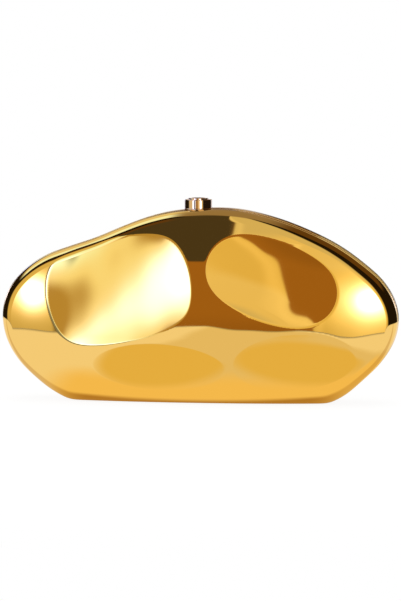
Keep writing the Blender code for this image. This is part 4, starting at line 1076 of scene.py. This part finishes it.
ceiling = lean.step(*CEILING_RIGHT_LEAN).mix(ceiling, CEILING_RIGHT)
room = (rise + behind * CEILING_DROP).step(*CEILING_RISE).mix(room, ceiling)
room = room.dimmed((1 - LOW_SHADE) + rise.step(*LOW_RISE) * LOW_SHADE)

# A glow in the left panel and two soft boxes, each a bright core in a wider halo. Each has its turn and
# rise, its half width and half height, and its light.
PANEL_GLOW = (0.9, 1.2, 4.2)
HALO = (1.0, 1.02, 0.9)
CORE = (4.0, 4.4, 9.0)
SOFT_BOXES = [
    (-26, 8.5, 4.4, 5.2, PANEL_GLOW),
    (-37.5, 5, 5, 6, HALO),
    (-37.5, 5, 3, 4, CORE),
    (26, 4, 7, 9, HALO),
    (26, 4, 3.5, 4, CORE),
]
for middle, level, width, height, light in SOFT_BOXES:
    off = (turn - middle) / width
    above = (rise - level) / height
    room = room.plus((off * off + above * above).bell().tinted(light))

# The white sheet straight behind, dark from its middle to the right. Facing and aside are the parts of
# a ray of length 1 that point backwards and to the right.
SHEET_FACING = (0.85, 0.93)
SHEET_RISE = (7, 10)
SHEET_DARK_FACING = (0.96, 0.97)
SHEET_DARK_ASIDE = (-0.06, -0.03)
room = (split["Y"].step(*SHEET_FACING) * (1 - rise.step(*SHEET_RISE))).mix(room, SHEET)
room = (split["Y"].step(*SHEET_DARK_FACING) * split["X"].step(*SHEET_DARK_ASIDE)).mix(room, ROOM_DARK)

# Dark gaps beside and under the left panel. Each has the leftward turn where it starts and the rise
# where it ends, and all end towards the soft box.
PANEL_GAPS = [((27, 28.5), (14, 20)), ((18, 20), (2, 6)), ((12, 14), (-4, -2.5))]
PANEL_GAPS_END = (32, 33.5)
PANEL_GAPS_SHARE = 0.85
gaps = 0
for gap_turn, gap_rise in PANEL_GAPS:
    gaps = start.math("MAXIMUM", leftward.step(*gap_turn) * (1 - rise.step(*gap_rise)), gaps)
room = (gaps * (1 - leftward.step(*PANEL_GAPS_END)) * PANEL_GAPS_SHARE).mix(room, PANEL_GAP)
path = {name: start.node("LightPath", {}, {}, name) for name in ("Is Camera Ray", "Is Glossy Ray")}
seen = path["Is Glossy Ray"].mix(ROOM_LIGHT, room)
seen = path["Is Camera Ray"].mix(seen, BACKDROP)
background = world.node_tree.nodes["Background"]
world.node_tree.links.new(seen.socket, background.inputs["Color"])

# Each lamp has its name, its place, its power in watts and its size in metres. No reflection shows it.
LAMPS = [
    ("left_lamp", (-0.9, -0.9, 0.8), 9.0, 0.6),
    ("right_lamp", (0.9, -0.9, 0.7), 8.0, 0.6),
    ("top_lamp", (0.0, 0.1, 1.3), 9.0, 0.8),
]
LAMP_AIM = Vector((0, 0, 50 * MM))
for name, place, power, size in LAMPS:
    lamp = bpy.data.lights.new(name, "AREA")
    lamp.energy = power
    lamp.size = size
    holder = bpy.data.objects.new(name, lamp)
    holder.location = place
    holder.rotation_euler = (LAMP_AIM - Vector(place)).to_track_quat("-Z", "Y").to_euler()
    holder.visible_glossy = False
    bpy.context.scene.collection.objects.link(holder)

# The camera
# A long lens, turned to the bag from a little to its right and just above it, in a frame of the
# photograph's own proportions.
FRAME_PIXELS = (401, 601)
CAMERA_TURN = 6.5
CAMERA_RISE = 5.5
CAMERA_DISTANCE = 1233 * MM
CAMERA_AIM = Vector((0.4 * MM, 0, 56 * MM))
LENS_LENGTH = 200
FILM_WIDTH = 36
lens = bpy.data.cameras.new("camera")
lens.lens = LENS_LENGTH * FRAME_PIXELS[0] / FRAME_PIXELS[1]
lens.sensor_width = FILM_WIDTH
camera = bpy.data.objects.new("camera", lens)
azimuth, elevation = math.radians(CAMERA_TURN), math.radians(CAMERA_RISE)
back = Vector((
    math.sin(azimuth) * math.cos(elevation), -math.cos(azimuth) * math.cos(elevation), math.sin(elevation)
))
camera.location = CAMERA_AIM + back * CAMERA_DISTANCE
camera.rotation_euler = back.to_track_quat("Z", "Y").to_euler()
bpy.context.scene.collection.objects.link(camera)
bpy.context.scene.camera = camera
bpy.context.scene.view_settings.view_transform = "Standard"

low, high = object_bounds()
